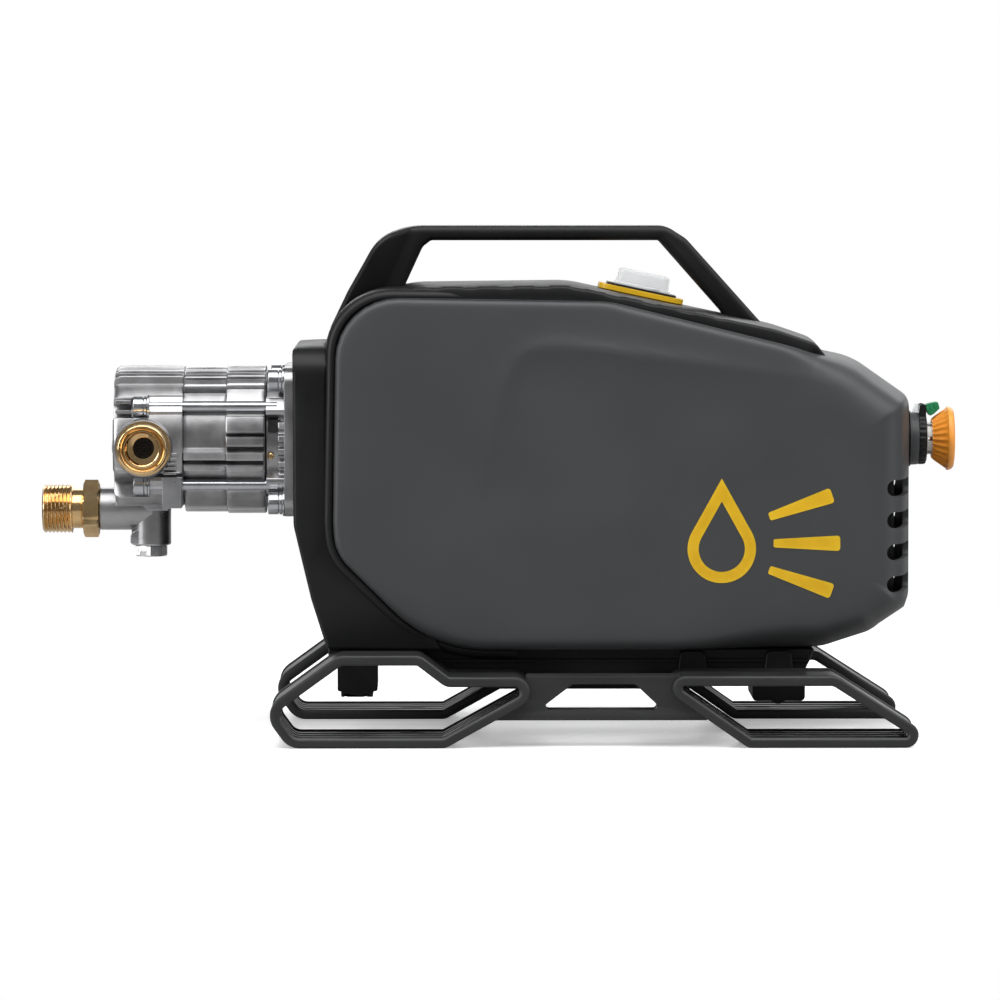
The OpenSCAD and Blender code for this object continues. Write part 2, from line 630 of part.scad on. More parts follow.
module release_latch() color([0.05, 0.55, 0.25]) {
    slab([[232.6, 176.8, 0], [236.4, 176.3, 0], [238.2, 173.6, 0.5], [243.6, 177.8, 1], [242.4, 181.4, 1],
        [232.6, 179.8, 0]], -4, 4);
    translate([latch_pin[0], 0, latch_pin[1]]) rotate([90, 0, 0])
        cylinder(h = 13, r = latch_pin_r, center = true);
}

shell_left();
shell_right();
spine_cover();
carry_handle();
front_frame();
front_bezel();
base_tray();
skid_left();
skid_right();
front_mount_block();
rear_mount_bracket();
shell_screws();
skid_screws();
handle_screws();
pump_head();
pump_body();
flange_adapter();
pump_shaft();
swash_plate();
thrust_race();
pump_bearing();
piston_a();
piston_b();
piston_c();
piston_seals();
piston_spring_a();
piston_spring_b();
piston_spring_c();
valve_poppet_a();
valve_poppet_b();
valve_poppet_c();
head_bolts();
flange_bolts();
inlet_fitting();
outlet_fitting();
unloader_block();
unloader_spool();
unloader_spring();
unloader_plug();
shaft_coupling();
front_end_bell();
stator_core();
stator_windings();
rotor_core();
rear_end_bell();
motor_bearings();
cooling_fan();
fan_shroud();
capacitor();
switch_bezel();
switch_body();
switch_rocker();
switch_boot();
inlet_collar();
inlet_ring();
contact_carrier();
connector_shroud();
release_latch();
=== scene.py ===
import json
import math
import bmesh
import bpy
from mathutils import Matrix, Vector, geometry


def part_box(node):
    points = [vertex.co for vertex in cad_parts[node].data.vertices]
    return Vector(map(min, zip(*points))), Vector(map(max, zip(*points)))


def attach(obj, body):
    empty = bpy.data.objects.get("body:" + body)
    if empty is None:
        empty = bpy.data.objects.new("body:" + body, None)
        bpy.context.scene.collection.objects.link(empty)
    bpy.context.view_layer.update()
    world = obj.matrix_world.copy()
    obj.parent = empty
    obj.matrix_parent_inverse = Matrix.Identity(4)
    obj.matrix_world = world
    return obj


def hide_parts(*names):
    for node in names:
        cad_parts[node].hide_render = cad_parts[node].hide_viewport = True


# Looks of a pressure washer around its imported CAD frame. Lengths are in millimetres until a mesh is made.
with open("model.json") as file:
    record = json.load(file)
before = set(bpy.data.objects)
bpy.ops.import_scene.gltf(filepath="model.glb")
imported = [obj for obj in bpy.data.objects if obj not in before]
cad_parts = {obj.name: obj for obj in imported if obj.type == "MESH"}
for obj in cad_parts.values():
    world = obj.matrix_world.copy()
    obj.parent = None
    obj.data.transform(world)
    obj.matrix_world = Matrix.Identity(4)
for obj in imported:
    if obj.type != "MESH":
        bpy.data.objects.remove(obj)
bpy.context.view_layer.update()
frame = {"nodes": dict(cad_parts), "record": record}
MM = 0.001
# Points closer together than this, in metres, become one.
MERGE = 0.00001
BEVEL_CUTS = 3
scene = bpy.context.scene


def box(node):
    """Lowest and highest corner of a CAD node, in millimetres."""
    low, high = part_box(node)
    return low / MM, high / MM


# ---- materials ----


def surface(name, colour, rough, metal=0.0, grain=0.7, depth=0.03, cloud=30.0, shade=0.12,
            spread=0.08, wear_and_sheen=0.3, wear_and_sheen_colour=None, stretch=(1, 1, 1), **sockets):
    """A procedural finish: cloudy colour and gloss, fine surface grain, and edges lightened partly as
    rubbed wear and partly as a painted highlight.
    """
    mat = bpy.data.materials.new(name)
    mat.use_nodes = True
    nodes, links = mat.node_tree.nodes, mat.node_tree.links
    shader = nodes["Principled BSDF"]
    shader.inputs["Metallic"].default_value = metal
    for key, value in sockets.items():
        shader.inputs[key.replace("_", " ")].default_value = value

    def add(kind, **values):
        node = nodes.new("ShaderNode" + kind)
        for key, value in values.items():
            node.inputs[key].default_value = value
        return node

    def blend(factor, low, high):
        node = nodes.new("ShaderNodeMix")
        node.data_type = "RGBA"
        for socket, value in ((0, factor), (6, low), (7, high)):
            if isinstance(value, bpy.types.NodeSocket):
                links.new(value, node.inputs[socket])
            else:
                node.inputs[socket].default_value = value
        return node.outputs[2]

    def ranged(value, low, high, to_low, to_high):
        node = add("MapRange", **{"From Min": low, "From Max": high, "To Min": to_low, "To Max": to_high})
        links.new(value, node.inputs["Value"])
        return node.outputs["Result"]

    place = add("TexCoord").outputs["Object"]
    scaled = add("Mapping", Scale=stretch)
    links.new(place, scaled.inputs["Vector"])
    clouds = add("TexNoise", Scale=1 / (cloud * MM), Detail=5.0)
    fine = add("TexNoise", Scale=1 / (grain * MM), Detail=3.0)
    links.new(place, clouds.inputs["Vector"])
    links.new(scaled.outputs["Vector"], fine.inputs["Vector"])
    dark = tuple(c * (1 - shade) for c in colour) + (1,)
    light = tuple(min(1, c * (1 + shade)) for c in colour) + (1,)
    tone = blend(ranged(clouds.outputs["Fac"], 0.3, 0.7, 0, 1), dark, light)
    # Convex edges, found by pointiness, are lightened towards a lighter edge colour: partly rubbed wear,
    # partly a painted highlight.
    wear_and_sheen_mask = ranged(add("NewGeometry").outputs["Pointiness"], 0.505, 0.58, 0, wear_and_sheen)
    edge = tuple(wear_and_sheen_colour or [min(1, c * 2 + 0.04) for c in colour]) + (1,)
    links.new(blend(wear_and_sheen_mask, tone, edge), shader.inputs["Base Color"])
    gloss = ranged(clouds.outputs["Fac"], 0.25, 0.75, rough - spread, rough + spread)
    links.new(gloss, shader.inputs["Roughness"])
    bump = add("Bump", Strength=0.8, Distance=depth * MM)
    links.new(fine.outputs["Fac"], bump.inputs["Height"])
    links.new(bump.outputs["Normal"], shader.inputs["Normal"])
    return mat


GRAPHITE = (0.0485, 0.0502, 0.0524)
# Each look's edge amount and edge colour lighten its edges, partly as rubbed wear and partly as a painted
# highlight.
LOOKS = {
    "shell_grey": surface("graphite_shell", GRAPHITE, 0.46, grain=0.5, depth=0.012, cloud=60, shade=0.05,
                          spread=0.05, wear_and_sheen=0.12),
    "black_plastic": surface("black_moulding", (0.005, 0.0051, 0.0053), 0.42, grain=0.45, depth=0.016,
                             cloud=40, shade=0.15, wear_and_sheen=0.2, Specular_IOR_Level=0.3),
    "skid_plastic": surface("skid_moulding", (0.019, 0.0192, 0.0198), 0.42, grain=0.5, depth=0.014,
                            cloud=35, shade=0.15, wear_and_sheen=0.25),
    "fastener_steel": surface("plated_steel", (0.5, 0.51, 0.53), 0.2, metal=1, grain=0.9, depth=0.006,
                              cloud=8, shade=0.12, spread=0.07, wear_and_sheen=0.2),
    "machined_steel": surface("machined_steel", (0.5, 0.5, 0.51), 0.28, metal=1, grain=0.5, depth=0.01,
                              cloud=12, stretch=(6, 1, 1)),
    "stator_steel": surface("lamination_steel", (0.3, 0.3, 0.31), 0.45, metal=1, grain=0.5, depth=0.02,
                            stretch=(8, 0.5, 0.5)),
    "cast_aluminium": surface("cast_aluminium", (0.36, 0.357, 0.362), 0.33, metal=1, grain=1.1, depth=0.035,
                              cloud=14, shade=0.2, spread=0.09, wear_and_sheen=0.5, wear_and_sheen_colour=(0.8, 0.8, 0.82)),
    "brass_fittings": surface("turned_brass", (0.78, 0.52, 0.25), 0.17, metal=1, grain=0.8, depth=0.006,
                              cloud=9, shade=0.16, spread=0.08, wear_and_sheen=0.4, wear_and_sheen_colour=(0.95, 0.75, 0.42)),
    "seal_rubber": surface("seal_rubber", (0.012, 0.012, 0.012), 0.6, grain=0.8, depth=0.03),
    "copper_windings": surface("varnished_copper", (0.5, 0.2, 0.08), 0.35, metal=1, grain=1.2, depth=0.12,
                               stretch=(1, 6, 6)),
    "capacitor_can": surface("capacitor_can", (0.6, 0.6, 0.58), 0.4, metal=0.6, grain=1.0, depth=0.02),
    "yellow_plastic": surface("yellow_plastic", (0.74, 0.42, 0.008), 0.38, grain=0.6, depth=0.01, cloud=15,
                              shade=0.08, wear_and_sheen=0.15),
    "clear_boot": surface("clear_silicone", (0.9, 0.92, 0.94), 0.1, grain=3, depth=0.03, cloud=9,
                          shade=0.02, wear_and_sheen=0.0, spread=0.05, Alpha=0.38, IOR=1.41),
    "white_plastic": surface("white_plastic", (0.8, 0.79, 0.76), 0.4, grain=0.6, depth=0.01, cloud=8),
    "orange_plastic": surface("orange_plastic", (1.0, 0.33, 0.03), 0.36, grain=0.6, depth=0.012, cloud=9,
                              shade=0.12, wear_and_sheen=0.35, wear_and_sheen_colour=(1.0, 0.55, 0.16)),
    "green_plastic": surface("green_plastic", (0.012, 0.22, 0.075), 0.35, grain=0.6, depth=0.012, cloud=6,
                             shade=0.15, wear_and_sheen=0.3, wear_and_sheen_colour=(0.05, 0.45, 0.2)),
}

# ---- shapes ----
# A part is (points, faces). A piece joins parts into one mesh.


def smooth(value, low, high):
    t = min(1.0, max(0.0, (value - low) / (high - low)))
    return t * t * (3 - 2 * t)


def turn_of(corners):
    """+1 for corners listed anticlockwise, and -1 for clockwise."""
    pairs = zip(corners, corners[1:] + corners[:1])
    return 1 if sum(a[0] * b[1] - b[0] * a[1] for a, b in pairs) > 0 else -1


def inset(corners, d):
    """The corners (x, z, radius) of the outline a distance d inside."""
    side, out = turn_of(corners), []
    for i, (x, z, r) in enumerate(corners):
        before, here = Vector(corners[i - 1][:2]), Vector((x, z))
        after = Vector(corners[(i + 1) % len(corners)][:2])
        u, v = (here - before).normalized(), (after - here).normalized()
        nu, nv = Vector((-u.y, u.x)) * side, Vector((-v.y, v.x)) * side
        p = here + (nu + nv) * (d / (1 + nu.dot(nv)))
        convex = (u.x * v.y - u.y * v.x) * side > 0
        out.append((p.x, p.y, max(r - d, 0.4) if convex else r + d) if r else (p.x, p.y, 0))
    return out


def outline(corners, step=4.0, arc=7, like=None, closed=True):
    """Points along an outline with rounded corners, its straight runs cut as in the outline `like`."""
    n = len(corners)

    def rounded(cs):
        ends = []
        for i, (x, z, r) in enumerate(cs):
            here = Vector((x, z))
            if not closed and i in (0, n - 1) or not r:
                ends.append([here])
                continue
            a = (Vector(cs[i - 1][:2]) - here).normalized()
            b = (Vector(cs[(i + 1) % n][:2]) - here).normalized()
            half = math.acos(max(-1, min(1, a.dot(b)))) / 2
            tangent, middle = r / math.tan(half), here + (a + b).normalized() * (r / math.sin(half))
            start, end = here + a * tangent - middle, here + b * tangent - middle
            swing = start.angle_signed(end)
            turned = []
            for k in range(arc + 1):
                t = -swing * k / arc
                turned.append(middle + Vector((start.x * math.cos(t) - start.y * math.sin(t),
                                               start.x * math.sin(t) + start.y * math.cos(t))))
            ends.append(turned)
        return ends

    ends, model = rounded(corners), rounded(like or corners)
    points = []
    for i in range(n if closed else n - 1):
        j = (i + 1) % n
        cuts = max(1, round((model[j][0] - model[i][-1]).length / step))
        points += ends[i]
        points += [ends[i][-1].lerp(ends[j][0], k / cuts) for k in range(1, cuts)]
    return [tuple(p) for p in points + ([] if closed else ends[-1])]


def loft(rings, ends=False):
    """Skins rings of equal length."""
    points = [p for ring in rings for p in ring]
    n, faces = len(rings[0]), []
    for i in range(len(rings) - 1):
        for k in range(n):
            m = (k + 1) % n
            faces.append((i * n + k, i * n + m, (i + 1) * n + m, (i + 1) * n + k))
    if ends:
        faces += [tuple(range(n))[::-1], tuple(range(len(points) - n, len(points)))]
    return points, faces


def side(p, w):
    """Side view (x, z) at depth w."""
    return p[0], w, p[1]


def front(p, w):
    """Front view (y, z) at w along the machine."""
    return w, p[0], p[1]


def plan(p, w):
    return p[0], p[1], w


def prism(shape, low, high, view=side, holes=()):
    """A flat shape given thickness from low to high."""
    loops = [list(shape), *[list(h) for h in holes]]
    flat = [p for loop in loops for p in loop]
    n = len(flat)
    points = [view(p, low) for p in flat] + [view(p, high) for p in flat]
    if holes:
        tris = geometry.tessellate_polygon([[Vector((*p, 0)) for p in loop] for loop in loops])
        faces = [tuple(t) for t in tris] + [tuple(n + i for i in reversed(t)) for t in tris]
    else:
        faces = [tuple(range(n)), tuple(range(2 * n - 1, n - 1, -1))]
    first = 0
    for loop in loops:
        count = len(loop)
        for k in range(count):
            a, b = first + k, first + (k + 1) % count
            faces.append((a, b, n + b, n + a))
        first += count
    return points, faces


def block(low, high):
    corners = [(low[0], low[2]), (high[0], low[2]), (high[0], high[2]), (low[0], high[2])]
    return prism(corners, low[1], high[1])


def turned(profile, place, steps=64, shape=None):
    """A profile of (along, radius) turned about an axis; shape(along, angle, radius) changes it."""
    rings = []
    for along, r in profile:
        ring = []
        for k in range(steps):
            a = 2 * math.pi * k / steps
            q = shape(along, a, r) if shape else r
            ring.append(place(along, q * math.cos(a), q * math.sin(a)))
        rings.append(ring)
    return loft(rings, ends=True)


def on_x(y, z):
    return lambda along, u, v: (along, y + u, z + v)


def on_y(x, z):
    return lambda along, u, v: (x + u, -along, z + v)


def on_z(x, y):
    return lambda along, u, v: (x + u, y + v, along)


def band(corners, section, arc=7, step=30, closed=True):
    """Sweeps a section of (outward, across) along an outline in side view."""
    path = [Vector(p) for p in outline(corners, step, arc, closed=closed)]
    side_of, n, rings = turn_of(corners), len(path), []
    for i, p in enumerate(path):
        before, after = path[i - 1], path[(i + 1) % n]
        if not closed:
            before, after = path[max(0, i - 1)], path[min(n - 1, i + 1)]
        along = (after - before).normalized()
        out = Vector((along.y, -along.x)) * side_of
        rings.append([(p.x + out.x * o, y, p.y + out.y * o) for o, y in section])
    return loft(rings + (rings[:1] if closed else []), ends=not closed)


def mirrored(part):
    points, faces = part
    return [(x, -y, z) for x, y, z in points], [tuple(reversed(f)) for f in faces]


def moved(part, change):
    points, faces = part
    return [change(*p) for p in points], faces


def piece(name, parts, look, body="chassis", nodes=(), bevel=0.0, sharp=32):
    """Makes one mesh object of the parts, rounds its edges, and ties it to its CAD body and nodes."""
    mesh = bpy.data.meshes.new(name)
    points, faces = [], []
    for more, polygons in parts:
        faces += [tuple(len(points) + i for i in f) for f in polygons]
        points += [tuple(c * MM for c in p) for p in more]
    mesh.from_pydata(points, [], faces)
    bm = bmesh.new()
    bm.from_mesh(mesh)
    bmesh.ops.remove_doubles(bm, verts=bm.verts, dist=MERGE)
    bmesh.ops.recalc_face_normals(bm, faces=bm.faces)
    bm.to_mesh(mesh)
    bm.free()
    mesh.polygons.foreach_set("use_smooth", [True] * len(mesh.polygons))
    obj = bpy.data.objects.new(name, mesh)
    scene.collection.objects.link(obj)
    mesh.materials.append(LOOKS[look])
    if bevel:
        round_edges = obj.modifiers.new("rounded", "BEVEL")
        round_edges.width, round_edges.segments = bevel * MM, BEVEL_CUTS
        round_edges.limit_method, round_edges.angle_limit = "ANGLE", math.radians(sharp)
        round_edges.harden_normals = True
    else:
        mesh.set_sharp_from_angle(angle=math.radians(sharp))
    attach(obj, body)
    if nodes:
        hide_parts(*nodes)
    return obj


def carve(obj, groups, sharp):
    """Cuts groups of solids out of a piece, one group after another."""
    tools = [piece(f"{obj.name}_slots_{k}", parts, "black_plastic") for k, parts in enumerate(groups)]
    for tool in tools:
        tool.hide_render = tool.hide_viewport = True
        cut = obj.modifiers.new("slots", "BOOLEAN")
        cut.object, cut.solver = tool, "EXACT"
    mesh = bpy.data.meshes.new_from_object(obj.evaluated_get(bpy.context.evaluated_depsgraph_get()))
    obj.modifiers.clear()
    obj.data = mesh
    mesh.set_sharp_from_angle(angle=math.radians(sharp))
    for tool in tools:
        bpy.data.objects.remove(tool)


# ---- housing ----

SHELL = [(60, 238.5, 70), (-88, 241, 34), (-90, 120, 40), (-89, 102, 28), (-36, 49.5, 74), (176, 49.5, 40),
         (204, 58.5, 30), (226.5, 73.5, 10), (226.5, 184, 9), (194, 206.8, 40), (172, 211, 14)]
# Half the housing's width, the thickness of its walls, and how far in from its outline the rounding starts.
HALF, WALL, EDGE_BAND = 72.0, 2.8, 28
# How the housing rounds from its flat side over each of its edges: (inset, depth from the middle).
OVER_TOP = [(28, 72), (20, 71.95), (12, 71.8), (5, 71.5), (2.4, 71), (1.2, 70.2), (0.5, 69), (0.1, 66.5),
            (0, 40), (0, 1)]
OVER_CROWN = [(28, 72), (22, 71.6), (16, 70.4), (11, 67.8), (7.4, 64), (4.8, 59.4), (3, 53), (1.8, 45),
              (0.6, 26), (0, 1)]
OVER_FRONT = [(28, 72), (20, 72), (12, 71.95), (5, 71.7), (2.2, 71.2), (0.9, 70.2), (0.3, 69), (0, 66.5),
              (0, 40), (0, 1)]
OVER_FOOT = [(28, 72), (14, 72), (7, 71.7), (3.6, 70.7), (1.4, 69), (0.4, 66.5), (0, 63), (0, 55), (0, 30),
             (0, 1)]
OVER_HEEL = [(28, 72), (20, 71.7), (14, 70.8), (9.5, 68.6), (6, 65), (3.4, 60.8), (1.6, 56), (0.7, 50),
             (0.2, 30), (0, 1)]
OVER_REAR = [(28, 72), (22, 71.2), (16, 68.6), (11.5, 64.6), (8.5, 60), (6.6, 54.4), (5.2, 48), (4.2, 41),
             (1.8, 26), (0, 1)]
# The upper crease in side view, from the front round the shoulder to the rear.
CREASE = [(-6, 150), (-1, 176), (2, 190), (5, 200), (9, 207), (15, 212), (22, 214), (34, 214.6), (50, 213),
          (74, 209.8), (104, 205.8), (140, 201.2), (170, 197), (200, 193), (230, 189)]


def crease_drop(x, z):
    """How far the side sinks beside its crease: a shoulder above it and a wide hollow below it."""
    best, under = 1e9, 0
    p = Vector((x, z))
    for a, b in zip(CREASE, CREASE[1:]):
        a, b = Vector(a), Vector(b)
        t = min(1, max(0, (p - a).dot(b - a) / (b - a).length_squared))
        gap = p - a.lerp(b, t)
        if gap.length < best:
            best = gap.length
            under = (b - a).x * gap.y - (b - a).y * gap.x
    fading = 1 - 0.9 * smooth(x, 60, 200)
    if under > 0:
        return 2.6 * (1 - math.exp(-best / 6)) * smooth(x, -20, 40) * fading * smooth(z, 186, 206)
    return 3.8 * (1 - math.exp(-best / 12)) * fading * smooth(z, 110, 205)


def shell_half():
    edge, inner = [[Vector(p) for p in outline(ring, 2.6, 8, like=SHELL)]
                   for ring in (SHELL, inset(SHELL, EDGE_BAND))]
    n, samples, count = len(edge), [], len(OVER_TOP)
    for i in range(count - 1):
        cuts = 3 if i < count - 3 else 2
        samples += [i + k / cuts for k in range(cuts)]
    samples.append(count - 1)
    blends = []
    for k in range(n):
        along = edge[(k + 1) % n] - edge[k - 1]
        out = Vector((along.y, -along.x)).normalized() * turn_of(SHELL)
        heel, crown = smooth(edge[k].x, 95, 165), smooth(edge[k].x, 150, 196)
        down, up = max(0, -out.y) ** 2, max(0, out.y) ** 2
        ahead, behind = max(0, -out.x) ** 2, max(0, out.x) ** 2
        blends.append([(OVER_TOP, up * (1 - crown)), (OVER_CROWN, up * crown), (OVER_FRONT, ahead),
                       (OVER_FOOT, down * (1 - heel)), (OVER_HEEL, down * heel), (OVER_REAR, behind)])

    def rim(s, wall):
        """The ring at a place s along the edge profiles, on the outer skin or a wall's thickness inside."""
        i = min(int(s), count - 2)
        t = s - i
        ring = []
        for k in range(n):
            d = y = 0.0
            for profile, share in blends[k]:
                q = [profile[max(0, min(count - 1, i + j))] for j in (-1, 0, 1, 2)]
                for axis in (0, 1):
                    a, b, c, e = (v[axis] for v in q)
                    bend = 2 * a - 5 * b + 4 * c - e + t * (3 * (b - c) + e - a)
                    value = b + t * (c - a + t * bend) / 2
                    if axis:
                        y += share * value
                    else:
                        d += share * value
            p = edge[k].lerp(inner[k], (max(0, d) + wall) / EDGE_BAND)
            y -= crease_drop(p.x, p.y) * smooth(y, 58, 70) + wall
            ring.append((p.x, -max(y, 0.15), p.y))
        return ring

    spine_a, spine_b, deep = Vector((-20, 106)), Vector((160, 100)), 40

    def field(j, wall):
        """A ring on the flat of the side, shrunk towards its middle."""
        ring = []
        for k, p in enumerate(inner):
            p = edge[k].lerp(p, (EDGE_BAND + wall) / EDGE_BAND)
            t = min(1, max(0, (p - spine_a).dot(spine_b - spine_a) / (spine_b - spine_a).length_squared))
            q = p.lerp(spine_a.lerp(spine_b, t), j / deep)
            ring.append((q.x, -(HALF - wall - crease_drop(q.x, q.y)), q.y))
        return ring

    rings = [field(j, 0) for j in range(deep - 1, 0, -1)] + [rim(s, 0) for s in samples]
    for d in (0.6, WALL):
        rings.append([(p.x, -0.15, p.y) for p in [edge[k].lerp(inner[k], d / EDGE_BAND) for k in range(n)]])
    rings += [rim(s, WALL) for s in reversed(samples[:-2])] + [field(j, WALL) for j in range(4, deep, 6)]
    return loft(rings, ends=True)


def stadium(u0, u1, v0, v1, arc=8):
    """A slot outline with round ends, long along its first direction."""
    r = (v1 - v0) / 2
    turns = [math.pi * k / arc for k in range(arc + 1)]
    left = [(u0 + r - r * math.sin(t), v0 + r + r * math.cos(t)) for t in turns]
    right = [(u1 - r + r * math.sin(t), v0 + r - r * math.cos(t)) for t in turns]
    return left + right


VENT_TOPS, VENT_HIGH = [141.8 - 17.4 * k for k in range(4)], 9
left = shell_half()
for name, part, sign in (("housing_left", left, -1), ("housing_right", mirrored(left), 1)):
    shell = piece(name, [part], "shell_grey", nodes=(name.replace("housing", "shell"),))
    bm = bmesh.new()
    bm.from_mesh(shell.data)
    if bm.calc_volume(signed=True) < 0:
        bmesh.ops.reverse_faces(bm, faces=bm.faces)
    bm.to_mesh(shell.data)
    bm.free()
    around = [prism(stadium(209.5, 250, z - VENT_HIGH, z), 48 * sign, 90 * sign) for z in VENT_TOPS]
    behind = [prism(stadium(26, 100, z - VENT_HIGH, z), 216, 250, front) for z in VENT_TOPS]
    carve(shell, [around, [mirrored(p) for p in behind] if sign < 0 else behind], 40)

# ---- spine cover, trim, handle and frame ----

SPINE = [(179, 208.5, 2), (172, 217, 14), (150, 224.6, 60), (38, 248.5, 60), (-48, 247.5, 50),
         (-80, 236.5, 15), (-94, 217, 1)]
SPINE_SECTION = [(-61.9, -10.6), (-61.9, -6.8), (-61.9, -3), (-61.5, -2.2), (-60.4, -1.6), (-57, -1.25),
                 (-48, -1), (-30, -0.6), (-15, -0.2)]
SPINE_SECTION += [(0, 0)] + [(-y, h) for y, h in reversed(SPINE_SECTION)]
GROOVE_PITCH, GROOVE_DEPTH = 19.5, 0.5


def spine():
    """The crowned cover over the top of the housing, with shallow grip notches along both of its edges."""
    path = [Vector(p) for p in outline(SPINE, 0.9, 12, closed=False)]
    rings, run = [], 0.0
    for i, p in enumerate(path):
        run += (p - path[max(0, i - 1)]).length
        along = (path[min(i + 1, len(path) - 1)] - path[max(i - 1, 0)]).normalized()
        out = Vector((along.y, -along.x))
        from_groove = abs((p.x + 45) % GROOVE_PITCH - GROOVE_PITCH / 2)
        depth = GROOVE_DEPTH * (1 - smooth(from_groove, 3.4, 4.6))
        depth *= smooth(p.x, -44, -38)
        depth *= 1 - smooth(p.x, 120, 124)
        narrow = 1 - 0.1 * (1 - smooth(run, 0, 14))
        ring = []
        for y, h in SPINE_SECTION:
            cut = depth if abs(y) > 56 and h > -5 else 0
            q = p + out * (h - cut)
            ring.append((q.x, y * narrow, q.y))
        rings.append(ring)
    return loft(rings, ends=True)


piece("spine_cover_moulding", [spine()], "black_plastic", nodes=("spine_cover",), sharp=50)

TRIM = [(6, 241.4, 1), (-90.8, 243, 33), (-93.2, 119, 40), (-92, 100.7, 31), (-38, 47.3, 77), (10, 46.8, 1)]
TRIM_SECTION = [(2.9, -58), (2.7, -61.5), (1.9, -64), (0.7, -65.4), (-0.9, -66), (-2.4, -66), (-2.8, -65.4),
                (-2.8, -60)]
TRIM_SECTION += [(o, -y) for o, y in reversed(TRIM_SECTION)]
trim = moved(band(TRIM, TRIM_SECTION, arc=14, step=8, closed=False),
             lambda x, y, z: (x, y * (1 - 0.075 * smooth(x, -66, -4)), z))
piece("front_trim_band", [trim], "black_plastic", nodes=("front_bezel",), sharp=60)

HANDLE = [(-94, 219, 1), (-84, 228, 0), (-59.5, 228, 0), (-41.5, 267, 6), (-37, 270.5, 3), (88, 270.5, 3),
          (122, 232, 0), (126, 226, 0), (146.5, 223, 1), (103, 271.5, 14), (92, 278.5, 14),
          (-50, 278.5, 44), (-66.5, 271.5, 25), (-74, 258, 30), (-82.5, 243, 30)]
GRIP_HALF = 14.0
FOLD_AT, FOLD_NORMAL, FLARE = Vector((-48.5, 0, 275)), Vector((-0.908, 0, 0.417)), 0.95


def sliced(part, at, normal):
    """The part with every face cut along a plane."""
    bm = bmesh.new()
    verts = [bm.verts.new(p) for p in part[0]]
    for f in part[1]:
        bm.faces.new([verts[i] for i in f])
    bmesh.ops.bisect_plane(bm, geom=bm.verts[:] + bm.edges[:] + bm.faces[:], plane_co=at, plane_no=normal)
    number = {v: i for i, v in enumerate(bm.verts)}
    result = [tuple(v.co) for v in bm.verts], [tuple(number[v] for v in f.verts) for f in bm.faces]
    bm.free()
    return result


def handle():
    """Grip and legs with soft chamfers; the front leg flares sideways in front of a fold."""
    rings = []
    for d, share in ((3.6, 1.0), (2.0, 0.975), (0.9, 0.93), (0.25, 0.87), (0, 0.8)):
        rings.append([(x, GRIP_HALF * share, z)
                      for x, z in outline(inset(HANDLE, d) if d else HANDLE, 5, 9, like=HANDLE)])
    rings = rings + [[(x, -y, z) for x, y, z in ring] for ring in reversed(rings)]

    def flared(x, y, z):
        ahead = max(0, (Vector((x, 0, z)) - FOLD_AT).dot(FOLD_NORMAL)) if x < 0 else 0
        return x, y * (1 + FLARE * ahead / GRIP_HALF), z
    return moved(sliced(loft(rings, ends=True), FOLD_AT, FOLD_NORMAL), flared)


piece("carry_handle_moulding", [handle()], "black_plastic", nodes=("carry_handle",), sharp=28)

FRAME = [(-112, 213.5, 3), (-111.5, 117, 20), (-108, 102, 20), (-102, 77, 20), (-93.5, 50, 2), (-30, 49, 0),
         (-60, 108, 0), (-93.4, 111, 0), (-93.4, 214.5, 3)]
FRAME_HALF, FRAME_CORNER, FRAME_TOP, CORNER_FROM = 64.0, 16.0, 214.5, 190


def front_frame():
    """The plate that carries the pump, with round upper corners, and its raked lower gusset."""
    rings = []
    shape = outline(FRAME, 8, 6)

    def lowered(x, y, z, drop):
        """The point brought down under the round of an upper corner."""
        if z >= FRAME_TOP - drop:
            return x, y, FRAME_TOP - drop
        return x, y, z - max(0, drop - (FRAME_TOP - z)) if z > CORNER_FROM else z

    for y, d in ((-64, 1.8), (-63.5, 0.8), (-62.4, 0.1), (-60, 0), (-56, 0), (-52, 0), (-48, 0), (0, 0)):
        drop = FRAME_CORNER - math.sqrt(FRAME_CORNER ** 2 - max(0, -y - (FRAME_HALF - FRAME_CORNER)) ** 2)
        edge = outline(inset(FRAME, d), 8, 6, like=FRAME) if d else shape
        rings.append([lowered(x, y, z, drop) for x, z in edge])
    rings += [[(x, -y, z) for x, y, z in ring] for ring in reversed(rings[:-1])]
    return loft(rings, ends=True)


piece("front_frame_moulding", [front_frame()], "black_plastic", nodes=("front_frame",), sharp=40)

TRAY = [(-93, 44, 2), (-46, 44, 8), (-31, 34, 8), (165, 34, 3), (172, 49.3, 1), (-93, 49.3, 0)]
TRAY_RIDGE = [(-38, 41.4, 1), (168.4, 41.4, 0.5), (169.5, 43.8, 0.5), (-42, 43.8, 1)]
TRAY_HALF = 51.8
piece("base_tray_moulding", [prism(outline(TRAY, 40), -TRAY_HALF, TRAY_HALF)], "black_plastic",
      nodes=("base_tray",), bevel=1.2)
piece("base_tray_ridge", [prism(outline(TRAY_RIDGE, 60), -TRAY_HALF - 0.9, TRAY_HALF + 0.9)],
      "black_plastic", bevel=0.6)

# ---- skids and mounts ----

